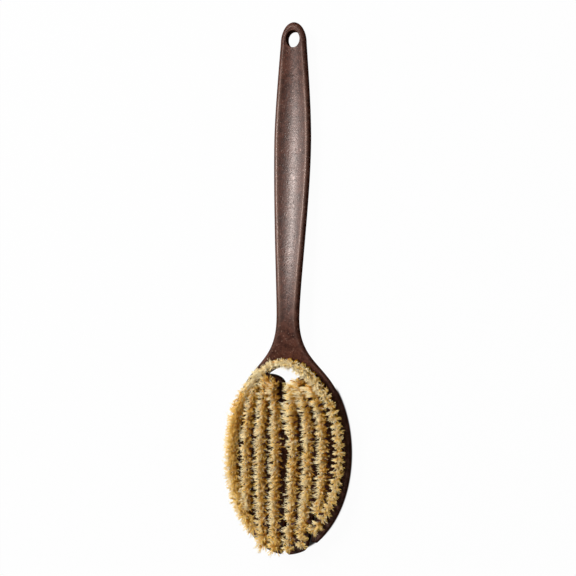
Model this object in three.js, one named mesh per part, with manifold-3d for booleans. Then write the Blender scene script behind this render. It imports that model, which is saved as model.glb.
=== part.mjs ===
// Back brush: a long handle and a four-fingered head moulded in one piece, set with rows of
// natural bristle. The brush lies on its back: +Z is the bristle side, +Y runs from the end of
// the head to the hanging hole and X = 0 is the plane of symmetry. All sizes are millimetres.
import * as THREE from 'three';
import { mergeVertices } from 'three/addons/utils/BufferGeometryUtils.js';
import Module from 'manifold-3d';

const wasm = await Module();
wasm.setup();

// Whole brush
const BRUSH_LENGTH = 400;

// Head: an ellipse in plan, dished along its length round a flat middle
const HEAD_WIDTH = 96.4;
const HEAD_LENGTH = 150;
const HEAD_THICKNESS = 8;
const HEAD_FLAT_LENGTH = 30;
const DISH_RADIUS = 250;
const HEAD_RIM_ROUND = 1.6;
const HEAD_RIM_DROP = 3;
const HEAD_BACK_ROUND = 3;

// Flare: where the outline leaves the head's ellipse, and the length of its two tangents
const FLARE_START = 55;
const FLARE_HEAD_TANGENT = 19;
const FLARE_NECK_TANGENT = 27;

// Handle, with the lengths of its outline's tangents at the neck, grip and tip
const NECK_AT = 178;
const NECK_WIDTH = 17.5;
const NECK_THICKNESS = 10.5;
const NECK_FACE_HEIGHT = 18.4;
const NECK_TANGENT = 22;
const GRIP_AT = 309;
const GRIP_WIDTH = 28.5;
const GRIP_THICKNESS = 12.8;
const GRIP_NECK_TANGENT = 46;
const GRIP_TIP_TANGENT = 22;
const TIP_WIDTH = 20;
const TIP_LENGTH = 16;
const TIP_THICKNESS = 9.6;
const TIP_FACE_HEIGHT = 14.5;
const TIP_SLOPE = 0.04;
const TIP_TANGENT = 20;
const TIP_TAPER = 0.08;
const HANDLE_RIM_ROUND = 2.5;
const HANDLE_RIM_DROP = 3.9;
const RIM_POWER = 1.15;
const SCOOP_RADIUS = 28;
const SCOOP_FADE = 24;

// Hanging hole
const HOLE_WIDTH = 10.4;
const HOLE_LENGTH = 12.4;
const HOLE_TO_TIP = 6.6;

// Slits between the fingers, how far beyond the head's two ends their curves would meet, and
// the leaf-shaped opening where the middle slit ends
const SLIT_WIDTH = 2.2;
const LINES_MEET_ABOVE = 5;
const LINES_MEET_BELOW = 27;
const SIDE_SLIT_TO_OPENING = 21;
const FINGER_CORNER_RADIUS = 4;
const ARCH_ROW_TO_OPENING = 4.9;
const OPENING_WIDTH = 33;
const OPENING_HEIGHT = 6.6;
const FUNNEL_TO_OPENING = 8;
const FUNNEL_LENGTH = 25;
const FUNNEL_WIDTH = 7.4;
const SHOULDER_RISE = 4.5;
const SHOULDER_RUN = 8;

// Bristle rows
const SIDE_SLIT_TO_ROW = 4.5;
const MIDDLE_SLIT_TO_ROW = 5.8;
const EDGE_TO_OUTER_ROW = 7.4;
const EDGE_TO_ARCH_ROW = 3.5;
const ROW_CLEARANCE = 5;
const ROW_TO_FINGER_END = 4.8;
const THIRD_ROW_TO_OPENING = 4.5;
const FOURTH_ROW_TO_OPENING = 7;
const TUFT_PITCH = 5.2;

// Tufts: each is a pair of strands that lean apart
const BRISTLE_LENGTH = 17;
const STRAND_SIDES = 3;
const STRAND_BASE_RADIUS = 0.8;
const STRAND_TIP_RADIUS = 1;
const STRAND_BASE_SPREAD = 0.9;
const STRAND_TIP_SPREAD = 2.1;
const STRAND_SPREAD_TURN = Math.PI / 7;

// The slice of backing that carries the strands of a finger, let into its face
const SLICE_THICKNESS = 2;
const SLICE_MARGIN = 2.2;
const FIT_GAP = 0.3;

// Steps of the curved surfaces
const HEAD_STEPS = 26;
const FLARE_STEPS = 8;
const HANDLE_STEPS = 14;
const GRIP_STEPS = 9;
const TIP_STEPS = 8;
const LINE_STEPS = 14;
const RIM_SHARES = [0.06, 0.28, 0.6, 1];
const FRONT_SHARES = [0.67, 0.33, 0];
const BACK_ROUND_SHARES = [0.05, 0.22, 0.52, 1];
const BACK_SHARES = [0.5, 0];
const EDGE_REACH = 0.85;
const SLOPE_STEP = 0.5;
const CORNER_PASSES = 8;
const CUT_REACH = 60;

// Places that follow from the sizes above
const HEAD_MIDDLE = HEAD_LENGTH / 2;
const HEAD_HALF_WIDTH = HEAD_WIDTH / 2;
const TIP_MIDDLE = BRUSH_LENGTH - TIP_LENGTH;
const ARCH_ROW_RISE = HEAD_MIDDLE - EDGE_TO_ARCH_ROW;
const HEAD_TOP = HEAD_MIDDLE + ARCH_ROW_RISE;
const OPENING_TOP = HEAD_TOP - ARCH_ROW_TO_OPENING;
const OPENING_CORNER_X = OPENING_WIDTH / 2;
const OPENING_CORNER_Y = OPENING_TOP - OPENING_HEIGHT;
const FUNNEL_END = OPENING_CORNER_Y - FUNNEL_TO_OPENING;
const FUNNEL_START = FUNNEL_END - FUNNEL_LENGTH;
const SIDE_SLIT_TOP = OPENING_CORNER_Y - SIDE_SLIT_TO_OPENING;
const SIDE_SLIT_OFFSET = HEAD_HALF_WIDTH / 2;
const SECOND_ROW_OFFSET = SIDE_SLIT_OFFSET + SLIT_WIDTH / 2 + SIDE_SLIT_TO_ROW;
const THIRD_ROW_OFFSET = SIDE_SLIT_OFFSET - SLIT_WIDTH / 2 - SIDE_SLIT_TO_ROW;
const FOURTH_ROW_OFFSET = SLIT_WIDTH / 2 + MIDDLE_SLIT_TO_ROW;
const LINE_SPAN_TOP = HEAD_MIDDLE + LINES_MEET_ABOVE;
const LINE_SPAN_BOTTOM = HEAD_MIDDLE + LINES_MEET_BELOW;

// Small helpers

// Smooth step from 0 to 1 between two places.
function ease(from, to, at) {
  return THREE.MathUtils.smoothstep(at, from, to);
}

// Cubic between two places that are given as [place, value, slope].
function cubic([y0, z0, m0], [y1, z1, m1], y) {
  const span = y1 - y0;
  const t = (y - y0) / span;
  const rise = t * t * (3 - 2 * t);
  return z0 * (1 - rise) + z1 * rise + span * t * (1 - t) * (m0 * (1 - t) - m1 * t);
}

function solidOf(geometry) {
  geometry.deleteAttribute('normal');
  geometry.deleteAttribute('uv');
  const welded = mergeVertices(geometry);
  return new wasm.Manifold(new wasm.Mesh({
    numProp: 3,
    vertProperties: new Float32Array(welded.attributes.position.array),
    triVerts: Uint32Array.from(welded.index.array),
  }));
}

function meshOf(solid, name, material) {
  const { vertProperties, triVerts } = solid.getMesh();
  const geometry = new THREE.BufferGeometry();
  geometry.setAttribute('position', new THREE.BufferAttribute(vertProperties, 3));
  geometry.setIndex(new THREE.BufferAttribute(triVerts, 1));
  geometry.computeVertexNormals();
  const mesh = new THREE.Mesh(geometry, material);
  mesh.name = name;
  return mesh;
}

// Skin over rings of equal length, closed by a point at each end. A ring runs from its right
// side over the front to its left side and back underneath.
function loft(rings, start, end) {
  const size = rings[0].length;
  const last = 1 + rings.length * size;
  const at = (ring, k) => 1 + ring * size + (k % size);
  const index = [];
  for (let k = 0; k < size; k++) {
    index.push(0, at(0, k), at(0, k + 1));
    index.push(last, at(rings.length - 1, k + 1), at(rings.length - 1, k));
    for (let r = 0; r < rings.length - 1; r++) {
      index.push(at(r, k), at(r + 1, k), at(r, k + 1));
      index.push(at(r, k + 1), at(r + 1, k), at(r + 1, k + 1));
    }
  }
  const geometry = new THREE.BufferGeometry().setFromPoints([start, ...rings.flat(), end]);
  geometry.setIndex(index);
  return solidOf(geometry);
}

// A plan outline carried straight through the brush.
function prism(shape) {
  const geometry = new THREE.ExtrudeGeometry(shape, {
    depth: 2 * CUT_REACH,
    bevelEnabled: false,
    curveSegments: LINE_STEPS,
  });
  return solidOf(geometry.translate(0, 0, -CUT_REACH));
}

function mirrored(points) {
  return points.map((point) => new THREE.Vector2(-point.x, point.y)).reverse();
}

// Side view of the brush

// Height of the front face along the middle of the brush.
function faceHeight(y) {
  const dish = (at) => {
    const run = Math.max(0, Math.abs(at - HEAD_MIDDLE) - HEAD_FLAT_LENGTH / 2);
    return HEAD_THICKNESS + (run * run) / (2 * DISH_RADIUS);
  };
  if (y <= HEAD_TOP) {
    return dish(y);
  }
  const dishSlope = (ARCH_ROW_RISE - HEAD_FLAT_LENGTH / 2) / DISH_RADIUS;
  const top = [HEAD_TOP, dish(HEAD_TOP), dishSlope];
  const neck = [NECK_AT, NECK_FACE_HEIGHT, 0];
  const grip = [GRIP_AT, GRIP_THICKNESS, 0];
  const tip = [BRUSH_LENGTH, TIP_FACE_HEIGHT, TIP_SLOPE];
  if (y <= NECK_AT) {
    return cubic(top, neck, y);
  }
  return y <= GRIP_AT ? cubic(neck, grip, y) : cubic(grip, tip, y);
}

// Direction of the bristles at a place along the head.
function faceNormal(y) {
  const slope = (faceHeight(y + SLOPE_STEP) - faceHeight(y - SLOPE_STEP)) / (2 * SLOPE_STEP);
  return new THREE.Vector3(0, -slope, 1).normalize();
}

// How far the section at y has turned from the head's slab to the handle's rounded section.
function handleShare(y) {
  return ease(HEAD_MIDDLE + FLARE_START, NECK_AT, y);
}

function thickness(y) {
  const atNeck = THREE.MathUtils.lerp(HEAD_THICKNESS, NECK_THICKNESS, handleShare(y));
  const atGrip = THREE.MathUtils.lerp(atNeck, GRIP_THICKNESS, ease(NECK_AT, GRIP_AT, y));
  return THREE.MathUtils.lerp(atGrip, TIP_THICKNESS, ease(GRIP_AT, TIP_MIDDLE, y));
}

// Width and height of the rim round the front face.
function rim(y) {
  const share = handleShare(y);
  return {
    rimRound: THREE.MathUtils.lerp(HEAD_RIM_ROUND, HANDLE_RIM_ROUND, share),
    rimDrop: THREE.MathUtils.lerp(HEAD_RIM_DROP, HANDLE_RIM_DROP, share),
  };
}

// Plan outline of the brush, from the end of the head to the tip, as half-widths

function outlineCurves() {
  const flareAngle = Math.asin(FLARE_START / HEAD_MIDDLE);
  const head = new THREE.EllipseCurve(
    0, HEAD_MIDDLE, HEAD_HALF_WIDTH, HEAD_MIDDLE, -Math.PI / 2, flareAngle);
  const flareFoot = head.getPoint(1);
  const flareWay = head.getTangent(1);
  const neck = new THREE.Vector2(NECK_WIDTH / 2, NECK_AT);
  const grip = new THREE.Vector2(GRIP_WIDTH / 2, GRIP_AT);
  const tip = new THREE.Vector2(TIP_WIDTH / 2, TIP_MIDDLE);
  const along = (point, distance) => new THREE.Vector2(point.x, point.y + distance);
  const tipWay = new THREE.Vector2(TIP_TAPER, -1);
  return [
    [head, HEAD_STEPS],
    [new THREE.CubicBezierCurve(
      flareFoot, flareFoot.clone().addScaledVector(flareWay, FLARE_HEAD_TANGENT),
      along(neck, -FLARE_NECK_TANGENT), neck), FLARE_STEPS],
    [new THREE.CubicBezierCurve(
      neck, along(neck, NECK_TANGENT), along(grip, -GRIP_NECK_TANGENT), grip), HANDLE_STEPS],
    [new THREE.CubicBezierCurve(
      grip, along(grip, GRIP_TIP_TANGENT),
      tip.clone().addScaledVector(tipWay, TIP_TANGENT), tip), GRIP_STEPS],
    [new THREE.EllipseCurve(
      0, TIP_MIDDLE, TIP_WIDTH / 2, TIP_LENGTH, 0, Math.PI / 2), TIP_STEPS],
  ];
}

// Places along the brush with the outline's half-width and its share of travel along Y.
function stations() {
  const places = [];
  for (const [curve, steps] of outlineCurves()) {
    for (let i = 1; i <= steps; i++) {
      const point = curve.getPoint(i / steps);
      places.push({ y: point.y, half: point.x, run: Math.abs(curve.getTangent(i / steps).y) });
    }
  }
  places.pop();
  return places;
}

// One cross-section: a scooped face inside a crested rim, the widest line, and the round back.
function section({ y, half, run }) {
  const share = handleShare(y);
  const deepest = (half * run) / 2;
  const depthAt = (x) => ((half * half - x * x) * run) / (2 * half);
  const placeAt = (depth) => Math.sqrt(Math.max(0, half * half - (2 * half * depth) / run));
  const { rimRound, rimDrop } = rim(y);
  const handleBackRound = y > TIP_MIDDLE ? TIP_WIDTH / 4 : deepest;
  const backRound = THREE.MathUtils.lerp(HEAD_BACK_ROUND, handleBackRound, share);
  const backDrop = thickness(y) - rimDrop;
  const widest = faceHeight(y) - rimDrop;
  const scooped = ease(NECK_AT - SCOOP_FADE, NECK_AT + SCOOP_FADE, y);

  const reach = EDGE_REACH * deepest;
  const rimReach = Math.min(rimRound, reach);
  const rimX = placeAt(rimReach);
  const rise = (depth, round, power) =>
    Math.sqrt(1 - Math.pow(Math.max(0, 1 - depth / round), power));
  const front = (x) => {
    const hollow = x < rimX ? (scooped * (rimX * rimX - x * x)) / (2 * SCOOP_RADIUS) : 0;
    return widest + rimDrop * rise(depthAt(x), rimRound, RIM_POWER) - hollow;
  };
  const backReach = Math.min(backRound, reach);
  const backX = placeAt(backReach);
  const back = (x) => widest - backDrop * rise(depthAt(x), backRound, 2 - share);

  const frontX = [
    ...RIM_SHARES.map((s) => placeAt(s * rimReach)), ...FRONT_SHARES.map((s) => s * rimX)];
  const backXs = [
    ...BACK_ROUND_SHARES.map((s) => placeAt(s * backReach)), ...BACK_SHARES.map((s) => s * backX)];
  const over = frontX.map((x) => new THREE.Vector3(x, y, front(x)));
  const under = backXs.map((x) => new THREE.Vector3(-x, y, back(x)));
  const flip = (points) =>
    points.slice(0, -1).reverse().map((p) => new THREE.Vector3(-p.x, p.y, p.z));
  const right = new THREE.Vector3(half, y, widest);
  const left = new THREE.Vector3(-half, y, widest);
  return [right, ...over, ...flip(over), left, ...under, ...flip(under)];
}

function blank() {
  const endPoint = (y) => new THREE.Vector3(0, y, faceHeight(y) - rim(y).rimDrop);
  return loft(stations().map(section), endPoint(0), endPoint(BRUSH_LENGTH));
}

// A layer that follows the head's face from below it to above it.
function faceLayer(below, above) {
  const rings = stations().filter(({ y }) => y < NECK_AT).map(({ y }) => {
    const low = faceHeight(y) - below;
    const high = faceHeight(y) + above;
    return [[1, low], [1, high], [-1, high], [-1, low]].map(
      ([side, z]) => new THREE.Vector3(side * HEAD_WIDTH, y, z));
  });
  const middle = (ring) => ring[0].clone().add(ring[2]).multiplyScalar(0.5);
  return loft(rings, middle(rings[0]), middle(rings.at(-1)));
}

// Lines along the head: slits and inner rows are ellipse arcs about the head's middle

function lineX(offset, y) {
  const rise = y - HEAD_MIDDLE;
  const span = rise > 0 ? LINE_SPAN_TOP : LINE_SPAN_BOTTOM;
  return offset * Math.sqrt(1 - (rise / span) ** 2);
}

// Height at which a line of the head meets an ellipse about the head's middle.
function lineEnd(offset, halfWidth, halfLength, span) {
  const share = (offset / halfWidth) ** 2;
  return Math.sqrt((1 - share) / (1 / halfLength ** 2 - share / span ** 2));
}

// Extra half-width of the middle slit as it opens towards the leaf-shaped opening.
function funnel(y) {
  return ((FUNNEL_WIDTH - SLIT_WIDTH) / 2) * ease(FUNNEL_START, FUNNEL_END, y);
}

function sampled(from, to, xAt) {
  const points = [];
  for (let i = 0; i <= LINE_STEPS; i++) {
    const y = THREE.MathUtils.lerp(from, to, i / LINE_STEPS);
    points.push(new THREE.Vector2(xAt(y), y));
  }
  return points;
}

function middleSlitShape() {
  const shape = new THREE.Shape();
  const below = -SLIT_WIDTH;
  const side = SLIT_WIDTH / 2;
  const mouth = FUNNEL_WIDTH / 2;
  const waist = (FUNNEL_END - FUNNEL_START) / 2;
  const crown = 2 * OPENING_TOP - OPENING_CORNER_Y;
  shape.moveTo(side, below);
  shape.lineTo(side, FUNNEL_START);
  shape.bezierCurveTo(side, FUNNEL_START + waist, mouth, FUNNEL_END - waist, mouth, FUNNEL_END);
  shape.bezierCurveTo(
    mouth, FUNNEL_END + SHOULDER_RISE, OPENING_CORNER_X - SHOULDER_RUN, OPENING_CORNER_Y,
    OPENING_CORNER_X, OPENING_CORNER_Y);
  shape.quadraticCurveTo(0, crown, -OPENING_CORNER_X, OPENING_CORNER_Y);
  shape.bezierCurveTo(
    SHOULDER_RUN - OPENING_CORNER_X, OPENING_CORNER_Y, -mouth, FUNNEL_END + SHOULDER_RISE,
    -mouth, FUNNEL_END);
  shape.bezierCurveTo(-mouth, FUNNEL_END - waist, -side, FUNNEL_START + waist, -side, FUNNEL_START);
  shape.lineTo(-side, below);
  return shape;
}

// Centre of the round at the end of an outer finger, between its slit and the head's edge.
function fingerCorner() {
  let y = FINGER_CORNER_RADIUS;
  let x = 0;
  for (let pass = 0; pass < CORNER_PASSES; pass++) {
    x = lineX(SIDE_SLIT_OFFSET, y) + SLIT_WIDTH / 2 + FINGER_CORNER_RADIUS;
    const share = x / (HEAD_HALF_WIDTH - FINGER_CORNER_RADIUS);
    y = HEAD_MIDDLE - (HEAD_MIDDLE - FINGER_CORNER_RADIUS) * Math.sqrt(1 - share * share);
  }
  return new THREE.Vector2(x, y);
}

function sideSlitPoints() {
  const half = SLIT_WIDTH / 2;
  const corner = fingerCorner();
  const inner = sampled(SIDE_SLIT_TOP, -SLIT_WIDTH, (y) => lineX(SIDE_SLIT_OFFSET, y) - half);
  const outer = sampled(corner.y, SIDE_SLIT_TOP, (y) => lineX(SIDE_SLIT_OFFSET, y) + half);
  const toEdge = new THREE.Vector2(
    corner.x / (HEAD_HALF_WIDTH - FINGER_CORNER_RADIUS) ** 2,
    (corner.y - HEAD_MIDDLE) / (HEAD_MIDDLE - FINGER_CORNER_RADIUS) ** 2).normalize();
  const round = new THREE.EllipseCurve(
    corner.x, corner.y, FINGER_CORNER_RADIUS, FINGER_CORNER_RADIUS, toEdge.angle(), Math.PI, true);
  const past = corner.clone().addScaledVector(toEdge, 3 * FINGER_CORNER_RADIUS);
  const top = new THREE.EllipseCurve(
    lineX(SIDE_SLIT_OFFSET, SIDE_SLIT_TOP), SIDE_SLIT_TOP, half, half, 0, Math.PI);
  const roundSteps = LINE_STEPS / 2;
  return [
    ...inner, new THREE.Vector2(past.x, -SLIT_WIDTH), past,
    ...round.getPoints(roundSteps).slice(0, -1), ...outer,
    ...top.getPoints(roundSteps).slice(1, -1)];
}

function holeShape() {
  const middle = BRUSH_LENGTH - HOLE_TO_TIP - HOLE_LENGTH / 2;
  return new THREE.Shape().absellipse(0, middle, HOLE_WIDTH / 2, HOLE_LENGTH / 2, 0, 2 * Math.PI);
}

// Rows of tufts on the right half of the head

// The outer row follows the head's edge and closes over the arch.
class OuterRow extends THREE.Curve {
  constructor(grow, from) {
    super();
    this.halfWidth = HEAD_HALF_WIDTH - EDGE_TO_OUTER_ROW + grow;
    this.rise = ARCH_ROW_RISE + grow;
    this.fall = HEAD_MIDDLE - EDGE_TO_OUTER_ROW + grow;
    this.from = from;
  }

  getPoint(t) {
    const angle = THREE.MathUtils.lerp(this.from, Math.PI / 2, t);
    const reach = angle > 0 ? this.rise : this.fall;
    return new THREE.Vector2(
      this.halfWidth * Math.cos(angle), HEAD_MIDDLE + reach * Math.sin(angle));
  }
}

// An inner row is a line of the head between two heights.
class InnerRow extends THREE.Curve {
  constructor(xAt, low, high) {
    super();
    this.xAt = xAt;
    this.low = low;
    this.high = high;
  }

  getPoint(t) {
    const y = THREE.MathUtils.lerp(this.low, this.high, t);
    return new THREE.Vector2(this.xAt(y), y);
  }
}

const outerRowWidth = HEAD_HALF_WIDTH - EDGE_TO_OUTER_ROW;
const outerRowFall = HEAD_MIDDLE - EDGE_TO_OUTER_ROW;
const outerRowStart = -Math.acos(Math.min(1, fingerCorner().x / outerRowWidth));
const secondLow = HEAD_MIDDLE - lineEnd(
  SECOND_ROW_OFFSET, outerRowWidth - ROW_CLEARANCE, outerRowFall - ROW_CLEARANCE, LINE_SPAN_BOTTOM);
const secondHigh = HEAD_MIDDLE + lineEnd(
  SECOND_ROW_OFFSET, outerRowWidth - ROW_CLEARANCE, ARCH_ROW_RISE - ROW_CLEARANCE, LINE_SPAN_TOP);
const fingerEnd = (offset) => HEAD_MIDDLE - lineEnd(
  offset, HEAD_HALF_WIDTH - ROW_TO_FINGER_END, HEAD_MIDDLE - ROW_TO_FINGER_END, LINE_SPAN_BOTTOM);

const outerRow = new OuterRow(0, outerRowStart);
const secondRow = new InnerRow((y) => lineX(SECOND_ROW_OFFSET, y), secondLow, secondHigh);
const thirdRow = new InnerRow(
  (y) => lineX(THIRD_ROW_OFFSET, y),
  fingerEnd(THIRD_ROW_OFFSET), OPENING_CORNER_Y - THIRD_ROW_TO_OPENING);
const fourthRow = new InnerRow(
  (y) => lineX(FOURTH_ROW_OFFSET, y) + funnel(y),
  fingerEnd(FOURTH_ROW_OFFSET), OPENING_CORNER_Y - FOURTH_ROW_TO_OPENING);

// Tufts at an even pitch along a row. A row that closes over the arch stops half a pitch short.
function tufts(row, overArch) {
  const short = overArch ? 0.5 : 0;
  const count = Math.round(row.getLength() / TUFT_PITCH - short);
  const places = [];
  for (let i = 0; i <= count; i++) {
    const along = i / (count + short);
    places.push({ at: row.getPointAt(along), way: row.getTangentAt(along) });
  }
  return places;
}

// The strands of one finger in a single skin of separate closed spikes.
function strands(places, side) {
  const points = [];
  const index = [];
  for (const { at, way } of places) {
    const foot = new THREE.Vector3(side * at.x, at.y, faceHeight(at.y));
    const up = faceNormal(at.y);
    const along = new THREE.Vector3(side * way.x, way.y, 0).projectOnPlane(up).normalize();
    for (const lean of [0, Math.PI]) {
      const turn = side * STRAND_SPREAD_TURN + lean + Math.PI / 2;
      const out = along.clone().applyAxisAngle(up, turn);
      const base = foot.clone().addScaledVector(out, STRAND_BASE_SPREAD);
      base.addScaledVector(up, -SLICE_THICKNESS / 2);
      const tip = foot.clone().addScaledVector(out, STRAND_TIP_SPREAD);
      tip.addScaledVector(up, BRISTLE_LENGTH);
      const low = points.length;
      const high = low + STRAND_SIDES;
      for (const [end, radius] of [[base, STRAND_BASE_RADIUS], [tip, STRAND_TIP_RADIUS]]) {
        for (let k = 0; k < STRAND_SIDES; k++) {
          const spoke = out.clone().applyAxisAngle(up, (2 * Math.PI * k) / STRAND_SIDES);
          points.push(end.clone().addScaledVector(spoke, radius));
        }
      }
      for (let k = 0; k < STRAND_SIDES; k++) {
        const next = (k + 1) % STRAND_SIDES;
        index.push(low + k, low + next, high + next, low + k, high + next, high + k);
      }
      for (let k = 2; k < STRAND_SIDES; k++) {
        index.push(low, low + k, low + k - 1, high, high + k - 1, high + k);
      }
    }
  }
  const geometry = new THREE.BufferGeometry().setFromPoints(points);
  geometry.setIndex(index);
  return solidOf(geometry);
}

// Plan outlines of the backing slices on the right half. A positive grow gives the pocket.

function outerSlicePoints(grow) {
  const margin = SLICE_MARGIN + grow;
  const stop = secondHigh + margin;
  const outside = new OuterRow(margin, outerRowStart - margin / outerRowFall);
  const inside = new OuterRow(-margin, Math.asin((stop - HEAD_MIDDLE) / (ARCH_ROW_RISE - margin)));
  const seam = FIT_GAP / 2 - grow;
  const arc = (row) => {
    const points = row.getPoints(2 * LINE_STEPS);
    points.at(-1).x = seam;
    return points;
  };
  const foot = outside.getPoint(0).y;
  const inner = sampled(stop, foot, (y) => lineX(SECOND_ROW_OFFSET, y) - margin);
  return [...arc(outside), ...arc(inside).reverse(), ...inner];
}

function innerSlicePoints(grow) {
  const margin = SLICE_MARGIN + grow;
  const third = (y) => thirdRow.xAt(y) + margin;
  const fourth = (y) => fourthRow.xAt(y) - margin;
  return [
    ...sampled(thirdRow.low - margin, thirdRow.high + margin, third),
    ...sampled(fourthRow.high + margin, fourthRow.low - margin, fourth)];
}

const sided = (points, side) => new THREE.Shape(side > 0 ? points : mirrored(points));

function bristleStrip(slicePoints, places, side) {
  const slice = prism(sided(slicePoints(0), side)).intersect(faceLayer(SLICE_THICKNESS, 0));
  return slice.add(strands(places, side));
}

function brushBody() {
  let body = blank().subtract(prism(middleSlitShape())).subtract(prism(holeShape()));
  const pocket = faceLayer(SLICE_THICKNESS + FIT_GAP, BRISTLE_LENGTH);
  for (const side of [1, -1]) {
    body = body.subtract(prism(sided(sideSlitPoints(), side)));
    for (const slicePoints of [outerSlicePoints, innerSlicePoints]) {
      body = body.subtract(prism(sided(slicePoints(FIT_GAP), side)).intersect(pocket));
    }
  }
  return body;
}

// Materials: brown wood-fibre composite and pale natural bristle
const composite = new THREE.MeshStandardMaterial({ color: 0x4a3129, roughness: 0.55, metalness: 0 });
const bristle = new THREE.MeshStandardMaterial({ color: 0xd8b673, roughness: 0.8, metalness: 0 });

const brush = new THREE.Group();
brush.position.y = -BRUSH_LENGTH / 2;
brush.add(meshOf(brushBody(), 'brush_body', composite));
const outerTufts = [...tufts(outerRow, true), ...tufts(secondRow, false)];
const innerTufts = [...tufts(thirdRow, false), ...tufts(fourthRow, false)];
for (const [name, side] of [['left', -1], ['right', 1]]) {
  brush.add(meshOf(bristleStrip(outerSlicePoints, outerTufts, side), `bristles_outer_${name}`, bristle));
  brush.add(meshOf(bristleStrip(innerSlicePoints, innerTufts, side), `bristles_inner_${name}`, bristle));
}

export default brush;
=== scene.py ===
"""Back brush: the looks of a one-piece composite brush with rows of natural bristle.

The body is one closed surface: a plan grid lifted to the front and the back of the brush and joined
by a rolled edge. The tufts are fans of fine tapered fibres that stand on the head's dished face.
Sizes are metres in the CAD frame. `x` runs across the brush and `s` along it from the head's end.
"""

import logging
import math
from collections.abc import Callable
from dataclasses import dataclass, field
from enum import Enum

import bpy
import numpy as np
from mathutils import Matrix, Vector


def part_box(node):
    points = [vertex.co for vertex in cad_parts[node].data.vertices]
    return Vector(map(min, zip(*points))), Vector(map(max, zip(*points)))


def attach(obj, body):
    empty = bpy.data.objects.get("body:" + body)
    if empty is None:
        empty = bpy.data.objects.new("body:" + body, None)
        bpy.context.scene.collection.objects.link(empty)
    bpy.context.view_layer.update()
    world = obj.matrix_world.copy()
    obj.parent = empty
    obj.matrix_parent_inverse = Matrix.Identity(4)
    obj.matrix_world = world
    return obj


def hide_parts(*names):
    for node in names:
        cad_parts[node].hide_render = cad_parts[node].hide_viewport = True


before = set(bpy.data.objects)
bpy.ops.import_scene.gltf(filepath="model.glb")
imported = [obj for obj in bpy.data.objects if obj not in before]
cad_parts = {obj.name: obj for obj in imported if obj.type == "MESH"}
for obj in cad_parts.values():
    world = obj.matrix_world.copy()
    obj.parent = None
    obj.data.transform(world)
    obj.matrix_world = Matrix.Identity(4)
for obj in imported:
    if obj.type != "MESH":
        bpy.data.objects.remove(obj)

Array = np.ndarray
Socket = bpy.types.NodeSocket
Pair = tuple[float, float]
Triple = tuple[float, float, float]
Colour = Triple
PlanDepth = Callable[[Array, Array], Array]
LOG = logging.getLogger("back_brush")
MM = 0.001
BODY = "root"


class Side(Enum):
    """Half of the brush, with the sign of its x."""

    LEFT = -1
    RIGHT = 1


class Finger(Enum):
    """Finger of the head on one side, with the word in its node's name."""

    OUTER = "outer"
    INNER = "inner"


class Row(Enum):
    """Row of tufts on one half of the head, counted from its edge."""

    EDGE = 1
    SECOND = 2
    THIRD = 3
    FOURTH = 4


def smooth_step(low: float, high: float, at: Array) -> Array:
    """Smooth rise from 0 at low to 1 at high: 3t² - 2t³ of the clipped share t of the way."""
    t = np.clip((at - low) / (high - low), 0.0, 1.0)
    return t * t * (3.0 - 2.0 * t)


def blend(low: Array, high: Array, share: Array) -> Array:
    """Value a share of the way from low to high."""
    return low + (high - low) * share


def cubic(start: Triple, end: Triple, at: Array) -> Array:
    """Cubic between two places.

    Args:
        start: (place, value, slope) where the cubic begins.
        end: (place, value, slope) where it ends.
        at: places to work out.

    Returns:
        The cubic with those values and slopes, which is the ease between the values plus the
        two slopes' own bumps.
    """
    span = end[0] - start[0]
    t = (at - start[0]) / span
    rise = t * t * (3.0 - 2.0 * t)
    bumps = span * t * (1.0 - t) * (start[2] * (1.0 - t) - end[2] * t)
    return blend(start[1], end[1], rise) + bumps


def bezier(controls: list[Pair], count: int) -> Array:
    """Points on a cubic Bezier curve.

    Args:
        controls: the four control points.
        count: number of points.

    Returns:
        An array of (x, s) points, the Bernstein sum of the controls.
    """
    t = np.linspace(0.0, 1.0, count)[:, None]
    p0, p1, p2, p3 = (np.array(c) for c in controls)
    u = 1.0 - t
    return u**3 * p0 + 3 * u * u * t * p1 + 3 * u * t * t * p2 + t**3 * p3


def line_distance(x: Array, s: Array, points: Array) -> Array:
    """Distance of each place to a line of straight steps.

    Args:
        x: places across the brush.
        s: places along the brush.
        points: the line's points.

    Returns:
        The least distance to the steps, each met at the foot of its perpendicular or at an end.
    """
    start = points[:-1]
    step = points[1:] - start
    dx = x[:, None] - start[:, 0]
    ds = s[:, None] - start[:, 1]
    along = np.clip((dx * step[:, 0] + ds * step[:, 1]) / (step**2).sum(1), 0.0, 1.0)
    gap = (dx - along * step[:, 0]) ** 2 + (ds - along * step[:, 1]) ** 2
    return np.sqrt(gap.min(1))


def rounded_meet(a: Array, b: Array, radius: Array) -> Array:
    """Depth inside two edges at once, with the corner between them rounded.

    Args:
        a: depth inside the first edge.
        b: depth inside the second edge.
        radius: radius of the corner.

    Returns:
        The smaller depth, or near the corner the radius less the length of the two shortfalls.
    """
    least = np.minimum(a, b)
    short = np.hypot(np.maximum(radius - a, 0.0), np.maximum(radius - b, 0.0))
    return np.where(least > radius, least, radius - short)


def edge_rise(depth: Array, width: Array, power: Array) -> Array:
    """Rise of an edge's profile: the root of 1 less the remaining share of its width to a power."""
    left = np.clip(1.0 - depth / width, 0.0, 1.0)
    return np.sqrt(1.0 - left**power)


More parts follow.
